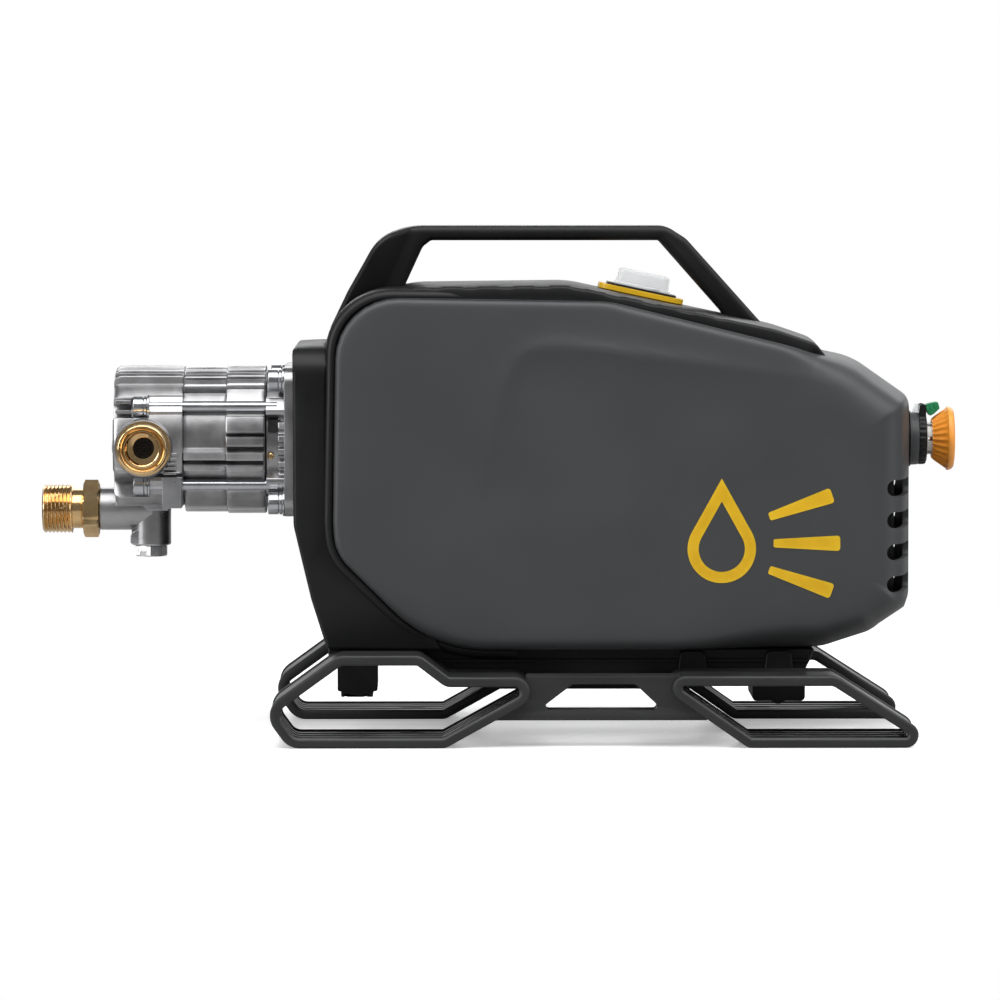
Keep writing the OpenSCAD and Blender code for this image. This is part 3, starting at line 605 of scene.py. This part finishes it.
FRONT_LOOP = [(-29.8, 2.8, 5), (29.4, 35.6, 5.6), (-28.2, 35.6, 6), (-43.5, 47.2, 6), (-86, 47.2, 8),
              (-124.3, 19.5, 9), (-112, 2.8, 9)]
REAR_LOOP = [(231.5, 2.8, 4), (179.5, 36, 8), (86.4, 36, 4), (134, 2.8, 4)]
BRIDGE = [(-7, 14.5, 1), (114, 14.5, 1), (97, 26, 1), (97, 38.4, 1), (14, 38.4, 1), (14, 26, 1)]
BRIDGE_WINDOW = [(20.5, 20, 2), (87.5, 20, 2), (72.5, 34, 2), (39, 34, 2)]
RIM = [(0.9, -102), (1.9, -101.7), (2.55, -101), (2.8, -99.9), (2.8, -98.2), (2.3, -97.4), (1.9, -97)]
SKID_SECTION = RIM + [(1.9, -57), (2.3, -56.6), (2.8, -55.8), (2.8, -54.1), (2.55, -53), (1.9, -52.3),
                      (0.9, -52)]
SKID_SECTION += [(-0.9, -52), (-1.9, -52.3), (-2.6, -53), (-2.8, -54.1), (-2.8, -55.6), (-2.2, -56.6),
                 (-1.7, -57)]
for rib in (-67, -77, -87):
    SKID_SECTION += [(-1.7, rib + 2.6), (-2.4, rib + 1.9), (-2.4, rib - 1.9), (-1.7, rib - 2.6)]
SKID_SECTION += [(-1.7, -97), (-2.2, -97.4), (-2.8, -98.4), (-2.8, -99.9), (-2.6, -101), (-1.9, -101.7),
                 (-0.9, -102)]
# The slot stands between two ribs of each sole.
SLOT_Y, SLOT_HALF_W, SLOT_HALF_L = 70.0, 2.75, 7.75

skid = [band(FRONT_LOOP, SKID_SECTION, arc=9), band(REAR_LOOP, SKID_SECTION, arc=9)]
ears = [mirrored(prism(outline([(x - 8, 37, 2), (x + 8, 37, 2), (x + 6.5, 48.5, 3), (x - 6.5, 48.5, 3)],
                               20), 52, 56))
        for x in (105, 152)]
bridge_plate = prism(outline(BRIDGE, 60), -96, -80, holes=[outline(BRIDGE_WINDOW, 60)])
slots = [prism(stadium(x - SLOT_HALF_L, x + SLOT_HALF_L, SLOT_Y - SLOT_HALF_W, SLOT_Y + SLOT_HALF_W), -2, 8,
               plan)
         for x in (-47.5, 147.5)]
for label, flip in (("left", False), ("right", True)):
    def handed(parts):
        return [mirrored(p) for p in parts] if flip else parts
    loops = piece(f"skid_{label}_loops", handed(skid), "skid_plastic", nodes=(f"skid_{label}",), sharp=24)
    carve(loops, [slots if flip else [mirrored(s) for s in slots]], 30)
    piece(f"skid_{label}_bridge", handed([bridge_plate]), "skid_plastic", bevel=1.0)
    piece(f"skid_{label}_ears", handed(ears), "black_plastic", bevel=0.9)

MOUNT = [(-88.5, 23.2, 1.2), (-86.6, 23, 0.4), (-86.5, 20, 0.6), (-84.8, 20, 0.3), (-84.6, 21.4, 0.3),
         (-83.4, 21.4, 0.3), (-83.2, 20, 0.3), (-73.8, 20, 0.3), (-73.6, 21.4, 0.3), (-72.4, 21.4, 0.3),
         (-72.2, 20, 0.3), (-69, 20, 0.6), (-68.9, 23, 0.4), (-66.5, 23.2, 1.2), (-66.5, 44, 0.5),
         (-88.5, 44, 0.5)]
BRACKET = [(139.5, 34, 0.5), (139.5, 17.5, 2.5), (150, 17.6, 1), (152.5, 16, 0.5), (155, 16, 0.5),
           (157.5, 17.6, 1), (168.5, 17.5, 2.5), (168.5, 34, 0.5)]
piece("front_mount_foot", [prism(outline(MOUNT, 30, 3), -22, 22)], "black_plastic",
      nodes=("front_mount_block",), bevel=0.5, sharp=40)
piece("rear_mount_foot", [prism(outline(BRACKET, 30, 4), -22, 22)], "black_plastic",
      nodes=("rear_mount_bracket",), bevel=0.6, sharp=40)

# ---- vent grilles behind the slots ----

# Plan of the liner inside one rear corner, from the side to the middle.
LINER = [(188, 62), (200, 60), (205, 56), (208.6, 51), (211, 46), (212.6, 39), (214.2, 26), (214.8, 8)]
liner_parts, rib_parts = [], []
inner_path = [(x - 1.3, y - 0.9) for x, y in LINER]
liner = prism(LINER + inner_path[::-1], 80, 145, plan)
for k in range(17):
    u = 1.4 + k * 0.33
    i = int(u)
    x, y = Vector(LINER[i]).lerp(Vector(LINER[i + 1]), u - i)
    rib_parts.append(prism(stadium(80, 144, -0.8, 0.8, 4), -0.6, 2.4,
                           lambda p, w, x=x, y=y: (x + w, y + p[1], p[0])))
for parts in ([liner], rib_parts):
    liner_parts += parts + [mirrored(part) for part in parts]
piece("vent_liner", liner_parts, "black_plastic", bevel=0.2)

# ---- switch ----

TILT = math.radians(12)
SWITCH_AT = (78, 239.97)


def on_switch(x, y, z):
    return (SWITCH_AT[0] + x * math.cos(TILT) + z * math.sin(TILT), y,
            SWITCH_AT[1] - x * math.sin(TILT) + z * math.cos(TILT))


def rectangle(u, v, r):
    return outline([(-u, -v, r), (u, -v, r), (u, v, r), (-u, v, r)], 40, 6)


def stack(levels):
    """Rounded rectangles (half length, half width, height, radius) on top of each other."""
    return loft([[(x, y, z) for x, y in rectangle(u, v, q)] for u, v, z, q in levels], ends=True)


piece("switch_surround",
      [moved(prism(rectangle(23.5, 18, 6), 0, 2.8, plan, [rectangle(19.3, 15.3, 3)]), on_switch)],
      "yellow_plastic", nodes=("switch_bezel",), bevel=0.9)
piece("switch_flange",
      [moved(prism(rectangle(19.2, 15.2, 3), -3, 4, plan, [rectangle(13, 10, 2)]), on_switch),
                        moved(prism(rectangle(14.5, 11.5, 2), -12, -9, plan), on_switch)],
      "black_plastic", nodes=("switch_body",), bevel=0.6)
boot_levels = [(15.5, 13, 4, 3), (15.5, 13, 5.2, 3), (14.7, 12.2, 5.6, 3), (14.2, 11.8, 11.4, 3.2),
               (13.7, 11.3, 12.5, 3.2), (12.6, 10.2, 13, 2.8)]
boot = piece("switch_boot_clear", [moved(stack(boot_levels), on_switch)], "clear_boot",
             nodes=("switch_boot",), sharp=50)
wall = boot.modifiers.new("wall", "SOLIDIFY")
wall.thickness, wall.offset = 0.9 * MM, -1
ROCKER_TILT = math.radians(-10)
ROCKER = [(-11, 0.5, 0), (11, 0.5, 0), (11, 5.4, 0.8), (5, 4.1, 9), (-5, 4.1, 9), (-11, 5.4, 0.8)]


def on_rocker(x, y, z):
    c, s = math.cos(ROCKER_TILT), math.sin(ROCKER_TILT)
    return on_switch(x * c + z * s, y, -1 - x * s + z * c)


piece("switch_rocker_cap", [moved(prism(outline(ROCKER, 3, 5), -8.5, 8.5), on_rocker)], "black_plastic",
      "rocker_body", nodes=("switch_rocker",), bevel=0.5)

# ---- rear inlet ----

AXIS_Z = 161.0
axis = on_x(0, AXIS_Z)
piece("inlet_collar_ring",
      [turned([(221, 9.2), (221, 11.8), (226.6, 11.8), (226.7, 15.4), (227.3, 15.4), (227.6, 14.6),
               (231.2, 14.4), (231.6, 14.1), (231.6, 9.4)], axis, 96)],
      "shell_grey", nodes=("inlet_collar",), sharp=35)


def knurl(count, depth, low, high, sharpness):
    """A turned shape's grip ridges between two places along its axis."""
    def shape(along, a, r):
        if low <= along <= high and r > 11:
            return r - depth * abs(math.sin(a * count / 2)) ** sharpness
        return r
    return shape


lock_ears = [prism(outline([(232.3, 172, 0.5), (235.8, 172, 0.5), (235.8, 180.2, 1.4), (232.3, 180.2, 1.2)],
                           10, 4), y, y + 2.6)
        for y in (4.4, -7)]
piece("inlet_ring_lock",
      [turned([(231.6, 9.4), (231.7, 14.1), (232.2, 14.3), (233.4, 14.3), (234.8, 14.3), (235.8, 13.8),
               (236.1, 12.8), (236.1, 9.4)], axis, 144,
              knurl(24, 0.5, 232.1, 235.0, 6))] + lock_ears,
      "black_plastic", nodes=("inlet_ring",), bevel=0.25, sharp=40)
lugs = []
for k in range(6):
    a0 = math.radians(60 * k + 8)
    arc_points = [(r * math.cos(a0 + t), AXIS_Z + r * math.sin(a0 + t))
                  for r, ts in ((8.8, range(6)), (6.6, range(5, -1, -1)))
                  for t in [math.radians(44) * i / 5 for i in ts]]
    lugs.append(prism(arc_points, 230, 242.4, front))
piece("contact_carrier_lugs", lugs + [turned([(224, 8.6), (236.6, 8.6), (237, 8.2), (237, 0.5)], axis)],
      "white_plastic", nodes=("contact_carrier",), bevel=0.35)
shroud_profile = [(240.2, 8.95), (239.2, 9.6), (239.2, 10.8), (239.7, 11.4), (241.4, 12.8), (243.6, 14.3),
                  (245.8, 15.8), (247.3, 16.9), (247.7, 17.5), (248.4, 17.6), (250.1, 16.9), (251, 15.9),
                  (251, 15.0), (250.4, 13.6), (247, 11.4), (243.6, 9.2), (242, 8.95), (240.2, 8.95)]
piece("connector_shroud_grip", [turned(shroud_profile, axis, 240, knurl(26, 0.85, 239.6, 247.2, 1.5))],
      "orange_plastic", "shroud_body", nodes=("connector_shroud",), sharp=45)
LATCH = [(232.8, 176.6, 0.4), (236.2, 176.2, 0.5), (238.0, 173.4, 1), (240.2, 174.6, 0.6),
         (243.5, 177.6, 1), (242.5, 181.4, 1), (237.8, 180.6, 2), (232.8, 178.8, 0.6)]
LATCH_RIBS = [(236.6, 177.2), (238.8, 178.2), (241.0, 179.2)]
grip_ribs = [mirrored(prism(outline([(x - 0.5, z - 1.2, 0.3), (x + 0.5, z - 1.2, 0.3),
                                     (x + 0.5, z + 1.2, 0.3), (x - 0.5, z + 1.2, 0.3)], 4, 3), 3.8, 4.35))
             for x, z in LATCH_RIBS]
piece("release_latch_tab", [prism(outline(LATCH, 3, 4), -4, 4)] + grip_ribs, "green_plastic", "latch_body",
      nodes=("release_latch",), bevel=0.4)
TAB = [(228.4, 175.2, 0.3), (232.2, 175.2, 0.3), (232.4, 180.6, 0.8), (230.4, 180.2, 0.8)]
piece("inlet_clear_tab", [prism(outline(TAB, 4, 4), -4, 4)], "clear_boot", bevel=0.3)

# ---- generic graphic on the sides ----

SKIN_STEP, SKIN_PROUD, SKIN_DEPTH = 3, 0.22, 0.6


def skin(shapes, sign):
    """A thin painted mark that follows the side of the housing, made of shapes that share their edges."""
    bm = bmesh.new()
    for shape in shapes:
        bm.faces.new([bm.verts.new((x, 0, z)) for x, z in shape])
    bmesh.ops.remove_doubles(bm, verts=bm.verts, dist=0.001)
    across, up = [p[0] for shape in shapes for p in shape], [p[1] for shape in shapes for p in shape]
    low_x, high_x, low_z, high_z = min(across), max(across), min(up), max(up)
    for low, high, normal in ((low_x, high_x, Vector((1, 0, 0))), (low_z, high_z, Vector((0, 0, 1)))):
        at = low + SKIN_STEP
        while at < high:
            bmesh.ops.bisect_plane(bm, geom=bm.verts[:] + bm.edges[:] + bm.faces[:], plane_co=normal * at,
                                   plane_no=normal)
            at += SKIN_STEP
    verts = list(bm.verts)
    number = {v: i for i, v in enumerate(verts)}
    outer = [(v.co.x, sign * (HALF + SKIN_PROUD - crease_drop(v.co.x, v.co.z)), v.co.z) for v in verts]
    points = outer + [(x, y - sign * SKIN_DEPTH, z) for x, y, z in outer]
    n = len(verts)
    faces = [tuple(number[v] for v in f.verts) for f in bm.faces]
    faces += [tuple(n + i for i in reversed(f)) for f in faces]
    faces += [(number[e.verts[0]], number[e.verts[1]], n + number[e.verts[1]], n + number[e.verts[0]])
              for e in bm.edges if e.is_boundary]
    bm.free()
    return points, faces


def droplet(x, z, r, tip, grow=0.0):
    """A drop with a round bowl and a pointed tip."""
    half = math.acos(r / tip)
    start, end = math.pi / 2 + half, math.pi / 2 - half + 2 * math.pi
    ring = []
    for k in range(41):
        a = start + (end - start) * k / 40
        ring.append((x + (r + grow) * math.cos(a), z + (r + grow) * math.sin(a)))
    return ring + [(x, z + tip + grow * tip / r)]


def drop_ring(x, z, r, tip, width):
    outer, hollow = droplet(x, z, r, tip), droplet(x, z, r, tip, -width)
    n = len(outer)
    return [[outer[k], outer[(k + 1) % n], hollow[(k + 1) % n], hollow[k]] for k in range(n)]


def ray(x, z, turn, near, far, slim, broad):
    """A bar that widens outwards from a point, at an angle in degrees."""
    a = math.radians(turn)
    corners = [(near, -slim, 1), (far, -broad, 1.6), (far, broad, 1.6), (near, slim, 1)]
    return outline([(x + u * math.cos(a) - v * math.sin(a), z + u * math.sin(a) + v * math.cos(a), r)
                    for u, v, r in corners], 8, 4)


mark = []
for sign in (-1, 1):
    mark.append(skin(drop_ring(120, 105, 18.5, 38, 6), sign))
    mark += [skin([ray(104, 108, turn, 44, 80, 2.2, 4.2)], sign) for turn in (-19, 0, 19)]
piece("side_graphic", mark, "yellow_plastic")

# ---- pump ----


def lobed(base, top, lobes, soft=1.3):
    """Radius of a barrel with rounded ribs, each given as degrees up from the side and a half width."""
    def shape(along, a, r):
        up = math.degrees(math.atan2(math.sin(a), abs(math.cos(a))))
        rise = max(1 - smooth(abs(up - c), w - soft, w + soft) for c, w in lobes)
        return r * (base + (top - base) * rise) / top
    return shape


BOLT_TURNS, BOLT_CIRCLE = (30, 150, 218, 322), 38.5
BOLT_PLACES = [(BOLT_CIRCLE * math.cos(math.radians(a)), AXIS_Z + BOLT_CIRCLE * math.sin(math.radians(a)))
               for a in BOLT_TURNS]
BARREL_STEPS = 360
INLET_X, INLET_Z = -193.5, 158
FINE_RIBS = [(52.5, 4.4), (63, 3.9), (73, 3.6), (83, 3.4), (93, 3.4)]
LOW_RIBS = [(-62, 3.6), (-72, 3.6), (-82, 3.4), (-92, 3.4)]
head_ribs = FINE_RIBS[1:] + [(4, 30), (-45, 16)]
waist_ribs = FINE_RIBS + [(-11, 4.4), (-21, 3.8), (-50, 10)] + LOW_RIBS
crown_ribs = FINE_RIBS + [(38.5, 7), (14, 7.4), (0.5, 4.6), (-11, 4.4), (-21, 3.8), (-50, 10)] + LOW_RIBS


def barrel(x0, x1, r, ribs, base, front_round=0.8, back_round=0.8, notch=None):
    profile = [(x0, r - front_round * 1.2), (x0 + front_round * 0.3, r - front_round * 0.4),
               (x0 + front_round, r)]
    profile += [(x0 + (x1 - x0) * k / 6, r) for k in range(1, 6)]
    profile += [(x1 - back_round, r), (x1 - back_round * 0.3, r - back_round * 0.4),
                (x1, r - back_round * 1.2)]
    ribbed = lobed(base, r, ribs)
    if not notch:
        return turned(profile, axis, BARREL_STEPS, ribbed)
    profile = sorted(profile + [(notch - 0.5, r), (notch, r)])

    def notched(along, a, q):
        """Seats for the heads of the long screws, cut back from the face as far as `notch`."""
        near = min(abs((math.degrees(a) - t + 180) % 360 - 180) for t in BOLT_TURNS)
        seat = (1 - smooth(near, 9, 11)) * (1 - smooth(along, notch - 0.5, notch))
        return ribbed(along, a, q) * (1 - seat) + 30.5 * seat
    return turned(profile, axis, BARREL_STEPS, notched)


def lug(x0, x1, y, z, half, inner=26.0):
    """A cast boss round a long bolt, run back into the barrel."""
    a = math.atan2(z - AXIS_Z, y)
    tip, root = 41.2 - BOLT_CIRCLE, inner - BOLT_CIRCLE
    rim = [(tip, -half + 1.5, 1.5), (tip, half - 1.5, 1.5), (1, half, 1), (root, half, 0), (root, -half, 0),
           (1, -half, 1)]
    flat = outline(rim, 20, 4)
    turned_flat = [(y + u * math.cos(a) - v * math.sin(a), z + u * math.sin(a) + v * math.cos(a))
                   for u, v in flat]
    return prism(turned_flat, x0, x1, front)


head_low, head_high = box("pump_head")
body_low, body_high = box("pump_body")
head_parts = [barrel(head_low.x, head_high.x, 40.6, head_ribs, 36.6, 3.2, 0.8, notch=-190.6)]
for y, z in BOLT_PLACES:
    head_parts.append(lug(-190.6, head_high.x - 0.2, y, z, 6.4))
head_parts.append(turned([(20, 18.5), (33, 17.2), (38.5, 16.2), (42.2, 15.6), (43, 15.0), (43, 11),
                          (34, 11), (34, 0.3)],
                         on_y(INLET_X, INLET_Z), 96))
for z in (177.4, 182.8):
    head_parts.append(block((head_low.x + 1.5, -36.6, z - 0.9), (-200.6, 36.6, z + 0.9)))
head_parts.append(block((-181.5, -40.2, 152.5), (-174.2, 40.2, 160.5)))
for k in range(5):
    head_parts.append(block((-182.8, -41.6, 143.5 + 2.6 * k), (-175.5, 41.6, 144.8 + 2.6 * k)))
head_parts.append(block((-183.5, -39.2, 125.0), (-173.0, 39.2, 142.0)))
piece("pump_head_casting", head_parts, "cast_aluminium", nodes=("pump_head",), bevel=0.7, sharp=38)

body_parts = [barrel(body_low.x, -148.6, 40.2, waist_ribs, 35.6),
              barrel(-149, body_high.x, 41, crown_ribs, 36.4)]
piece("pump_body_casting", body_parts, "cast_aluminium", nodes=("pump_body",), sharp=40)

flange_ribs = [(c, 3.2) for c in range(-85, 90, 11)]
flange_parts = [turned([(body_high.x, 32), (-126.8, 33.2), (-118, 33.2), (-117, 34), (-116.5, 34)], axis,
                       96),
                barrel(-120.5, -115.6, 38.6, flange_ribs, 35.8, 0.6, 0.6),
                prism(outline([(u * 41, AXIS_Z + v * 41, 10)
                               for u, v in ((-1, -1), (1, -1), (1, 1), (-1, 1))], 40),
                      -117, -112, front)]
for y, z in BOLT_PLACES:
    flange_parts.append(lug(-127, -116.4, y, z, 5.4, 30))
piece("flange_adapter_casting", flange_parts, "cast_aluminium", nodes=("flange_adapter",), bevel=0.6,
      sharp=38)
# Dark seal-rubber blocks on the solid flange where its windows are: painted shade standing in for the dark
# inside seen through the openings.
window_shade_blocks = [prism(outline([(-126, 166.2, 0.8), (-118.8, 166.2, 0.8), (-118.8, 173.2, 0.8),
                          (-126, 173.2, 0.8)], 9, 3), y, y + 2)
           for y in (-34.2, 32.2)]
piece("flange_window_painted_shade", window_shade_blocks, "seal_rubber", bevel=0.3)
grease = [turned([(26, 1.9), (34.6, 1.9), (35.2, 1.2), (35.2, 0.2)], on_y(-124.6, 153.2), 24),
          turned([(-35.2, 0.2), (-35.2, 1.2), (-34.6, 1.9), (-26, 1.9)], on_y(-124.6, 153.2), 24)]
piece("flange_drain_plugs", grease, "brass_fittings", bevel=0.2)


def screw(x0, place, head_r, head_l, shank_r, x1):
    """A socket head screw with a spring washer and a flat washer, its head at x0 and its tip at x1."""
    washers = head_l * 0.62
    profile = [(x0 + head_l * 0.5, 0.3), (x0 + head_l * 0.5, head_r * 0.5), (x0 + 0.5, head_r * 0.54),
               (x0, head_r * 0.64), (x0, head_r - 0.5), (x0 + 0.5, head_r), (x0 + washers, head_r),
               (x0 + washers + 0.2, head_r - 0.9), (x0 + washers + 0.5, head_r - 0.9),
               (x0 + washers + 0.6, head_r + 0.1), (x0 + head_l - 1.4, head_r + 0.1),
               (x0 + head_l - 1.3, head_r - 0.7), (x0 + head_l - 1.05, head_r - 0.7),
               (x0 + head_l - 1, head_r + 0.9), (x0 + head_l, head_r + 0.9), (x0 + head_l, shank_r),
               (x1, shank_r), (x1, 0.2)]
    return turned(profile, place, 48)


piece("head_screws", [screw(-199.6, on_x(y, z), 5.6, 9, 3, -121) for y, z in BOLT_PLACES], "fastener_steel",
      nodes=("head_bolts",), bevel=0.15, sharp=40)
piece("flange_screws",
      [screw(-126, on_x(y * 33.5, AXIS_Z + z * 33.5), 6.2, 9, 3.8, -97) for y in (-1, 1) for z in (-1, 1)],
      "fastener_steel", nodes=("flange_bolts",), bevel=0.2, sharp=40)

# ---- water fittings ----

inlet_axis = on_y(INLET_X, INLET_Z)
mouth = -box("inlet_fitting")[0].y


def inner_thread(along, a, r):
    if along < mouth - 2.2 and r < 9.3:
        return r - 0.55 * abs(((along / 1.8 - a / (2 * math.pi)) % 1) * 2 - 1)
    return r


bore = [(mouth - 1.6 - 0.3 * k, 9.2) for k in range(1, 45)]
inlet_profile = [(34, 8.0), (34, 10.9), (42.8, 10.9), (42.8, 14.6), (43.3, 15), (45.4, 15), (45.9, 14.6),
                 (46.2, 13.3), (47.2, 13.3), (48, 13.7), (56.6, 13.7), (mouth - 0.5, 13.4), (mouth, 12.7),
                 (mouth, 12.2), (mouth - 1.7, 11.0), (mouth - 1.9, 10.4), (mouth - 0.9, 10.2),
                 (mouth - 0.8, 9.6), (mouth - 1.4, 9.2)]
inlet_floor = [(42.9, 6.2), (42.2, 5.6), (41.6, 5.6), (41.6, 0.3)]
piece("inlet_fitting_brass", [turned(inlet_profile + bore + inlet_floor, inlet_axis, 96, inner_thread)],
      "brass_fittings", nodes=("inlet_fitting",), sharp=38)

screen = [turned([(41.7, 0.3), (41.7, 5.4), (43, 5.4), (43, 4.3), (42.4, 4.1), (42.4, 0.3)], inlet_axis,
                 36)]
screen += [block((INLET_X - 3.9, -43.1, INLET_Z + z - 0.25), (INLET_X + 3.9, -42.2, INLET_Z + z + 0.25))
           for z in (-2.2, -0.75, 0.75, 2.2)]
piece("inlet_screen", screen, "seal_rubber", bevel=0.08)

OUTLET_Z, PITCH = 122.5, 2.1
out_low = box("outlet_fitting")[0]


def outer_thread(along, a, r):
    if r > 13.5 and along < -234.8:
        fade = smooth(along, out_low.x, out_low.x + 1.6) * (1 - smooth(along, -236.4, -234.8))
        wave = abs(((along / PITCH - a / (2 * math.pi)) % 1) * 2 - 1)
        return r - 0.25 - 1.0 * wave * (0.35 + 0.65 * fade)
    return r


outlet_axis = on_x(0, OUTLET_Z)
thread = [(out_low.x + 0.8 + 0.26 * k, 13.7) for k in range(60)]
nipple = [(out_low.x + 6, 0.3), (out_low.x + 6, 6.4), (out_low.x + 0.6, 6.4), (out_low.x, 7.2),
          (out_low.x, 11.8), (out_low.x + 0.6, 12.6)] + thread + [(-234.6, 12.4), (-234.3, 10.9),
                                                                  (-229, 10.9), (-228.4, 10.6)]


def hexagon(x0, x1, r, place, chamfer=0.7):
    def flats(along, a, q):
        nearest = (a + math.pi / 6) % (math.pi / 3) - math.pi / 6
        return min(q, r * math.cos(math.pi / 6) / math.cos(nearest))
    profile = [(x0, r - chamfer * 2.4), (x0 + chamfer, r), (x1 - chamfer, r), (x1, r - chamfer * 2.4)]
    return turned(profile, place, 144, flats)


piece("outlet_nipple_brass",
      [turned(nipple, outlet_axis, 96, outer_thread), hexagon(-228.6, -220, 15.9, outlet_axis),
                              turned([(-220.2, 9), (-208, 9)], outlet_axis)], "brass_fittings",
      nodes=("outlet_fitting",), sharp=34)

BOSS_X = -191.5
manifold = [turned([(-220, 9.5), (-220, 11.0), (-219.2, 11.8), (-196, 11.8), (-190, 11.2), (-189, 8)],
                   outlet_axis, 64),
            turned([(102.4, 8), (102.4, 10.2), (103, 10.9), (118, 10.9), (134, 11.4), (134, 6)],
                   on_z(BOSS_X, 0), 64),
            block((-210.4, -11.6, 122), (-181.5, 11.6, 133.8)),
            prism(outline([(-202.6, 103.4, 1), (-191, 103.4, 1), (-191, 112, 1), (-198, 112, 2),
                           (-202.6, 109, 2)], 8, 3), -8.6, 8.6)]
piece("unloader_manifold", manifold, "cast_aluminium", nodes=("unloader_block",), bevel=0.8, sharp=35)
piece("unloader_cap",
      [hexagon(96.4, 102.6, 9.9, on_z(BOSS_X, 0), 0.6), turned([(102, 5), (108, 5)], on_z(BOSS_X, 0))],
      "machined_steel", nodes=("unloader_plug",), sharp=30)

# ---- stage, light and camera ----

FLOOR_REACH = 14.0
# How bright the floor is to the light that falls back on the machine, and to the camera.
FLOOR_BOUNCE, FLOOR_SEEN, FLOOR_GLOW = 0.46, 0.93, 0.3
# The floor thins out between these distances from the middle, in metres.
FADE_FROM, FADE_TO = 0.42, 0.95
ROOM_LIGHT = 0.2
floor_mesh = bpy.data.meshes.new("floor")
corners = [(x * FLOOR_REACH, y * FLOOR_REACH, 0) for x, y in ((-1, -1), (1, -1), (1, 1), (-1, 1))]
floor_mesh.from_pydata(corners, [], [(0, 1, 2, 3)])
floor = bpy.data.objects.new("floor", floor_mesh)
scene.collection.objects.link(floor)
paper = bpy.data.materials.new("pale_floor")
paper.use_nodes = True
add, link = paper.node_tree.nodes.new, paper.node_tree.links.new
shader = paper.node_tree.nodes["Principled BSDF"]
shader.inputs["Roughness"].default_value = 0.28
shader.inputs["Emission Color"].default_value = (1, 1, 1, 1)
shader.inputs["Specular IOR Level"].default_value = 0.18
direct = add("ShaderNodeLightPath").outputs["Is Camera Ray"]
lift = add("ShaderNodeMath")
lift.operation = "MULTIPLY"
lift.inputs[1].default_value = FLOOR_GLOW
link(direct, lift.inputs[0])
link(lift.outputs[0], shader.inputs["Emission Strength"])
sheet = add("ShaderNodeMix")
sheet.data_type = "RGBA"
for socket, level in ((6, FLOOR_BOUNCE), (7, FLOOR_SEEN)):
    sheet.inputs[socket].default_value = (level, level, level, 1)
link(direct, sheet.inputs[0])
link(sheet.outputs[2], shader.inputs["Base Color"])
reach_of = add("ShaderNodeVectorMath")
reach_of.operation = "LENGTH"
link(add("ShaderNodeTexCoord").outputs["Object"], reach_of.inputs[0])
fade = add("ShaderNodeMapRange")
fade.interpolation_type = "SMOOTHSTEP"
fade.inputs["From Min"].default_value, fade.inputs["From Max"].default_value = FADE_FROM, FADE_TO
link(reach_of.outputs["Value"], fade.inputs["Value"])
either = add("ShaderNodeMixShader")
link(fade.outputs["Result"], either.inputs[0])
link(shader.outputs[0], either.inputs[1])
link(add("ShaderNodeBsdfTransparent").outputs[0], either.inputs[2])
link(either.outputs[0], paper.node_tree.nodes["Material Output"].inputs["Surface"])
floor_mesh.materials.append(paper)

world = bpy.data.worlds.new("studio")
scene.world = world
world.use_nodes = True
add, link = world.node_tree.nodes.new, world.node_tree.links.new
sky = world.node_tree.nodes["Background"]
sky.inputs["Color"].default_value = (1, 1, 1, 1)
sky.inputs["Strength"].default_value = 1.0
room = add("ShaderNodeBackground")
room.inputs["Color"].default_value = (0.97, 0.985, 1, 1)
room.inputs["Strength"].default_value = ROOM_LIGHT
pick = add("ShaderNodeMixShader")
link(add("ShaderNodeLightPath").outputs["Is Camera Ray"], pick.inputs[0])
link(room.outputs[0], pick.inputs[1])
link(sky.outputs[0], pick.inputs[2])
link(pick.outputs[0], world.node_tree.nodes["World Output"].inputs["Surface"])


def lamp(name, at, to, size, power):
    light = bpy.data.lights.new(name, "AREA")
    light.shape, light.size, light.size_y, light.energy = "RECTANGLE", size[0], size[1], power
    obj = bpy.data.objects.new(name, light)
    obj.location = at
    obj.rotation_euler = (Vector(to) - Vector(at)).to_track_quat("-Z", "Y").to_euler()
    obj.visible_camera = False
    scene.collection.objects.link(obj)


lamp("overhead", (0.1, -0.75, 1.6), (0.0, 0.0, 0.1), (3.2, 1.4), 44)
lamp("left_box", (-1.9, -0.9, 0.7), (-0.1, 0, 0.15), (0.7, 1.3), 19)
lamp("right_box", (1.9, -0.3, 0.8), (0.1, 0, 0.15), (0.7, 1.3), 8)
lamp("back_box", (0.3, 1.7, 1.1), (0.0, 0, 0.15), (2.2, 0.9), 14)
lamp("low_back", (0.0, 2.3, 0.24), (0.0, 0, 0.02), (3.4, 0.36), 5)

camera = bpy.data.cameras.new("camera")
camera.lens, camera.sensor_width, camera.clip_end = 203, 36, 100
eye = bpy.data.objects.new("camera", camera)
eye.location = (-0.032, -3.108, 0.323)
eye.rotation_euler = (Vector((0.001, 0, 0.127)) - eye.location).to_track_quat("-Z", "Y").to_euler()
scene.collection.objects.link(eye)
scene.camera = eye
scene.view_settings.view_transform = "Standard"

# ---- carried-over CAD nodes ----

slot_of = {s["node"]: s["material_slot"] for s in frame["record"].get("subparts", [])}
for node, obj in frame["nodes"].items():
    obj.data.materials.clear()
    obj.data.materials.append(LOOKS[slot_of[node]])
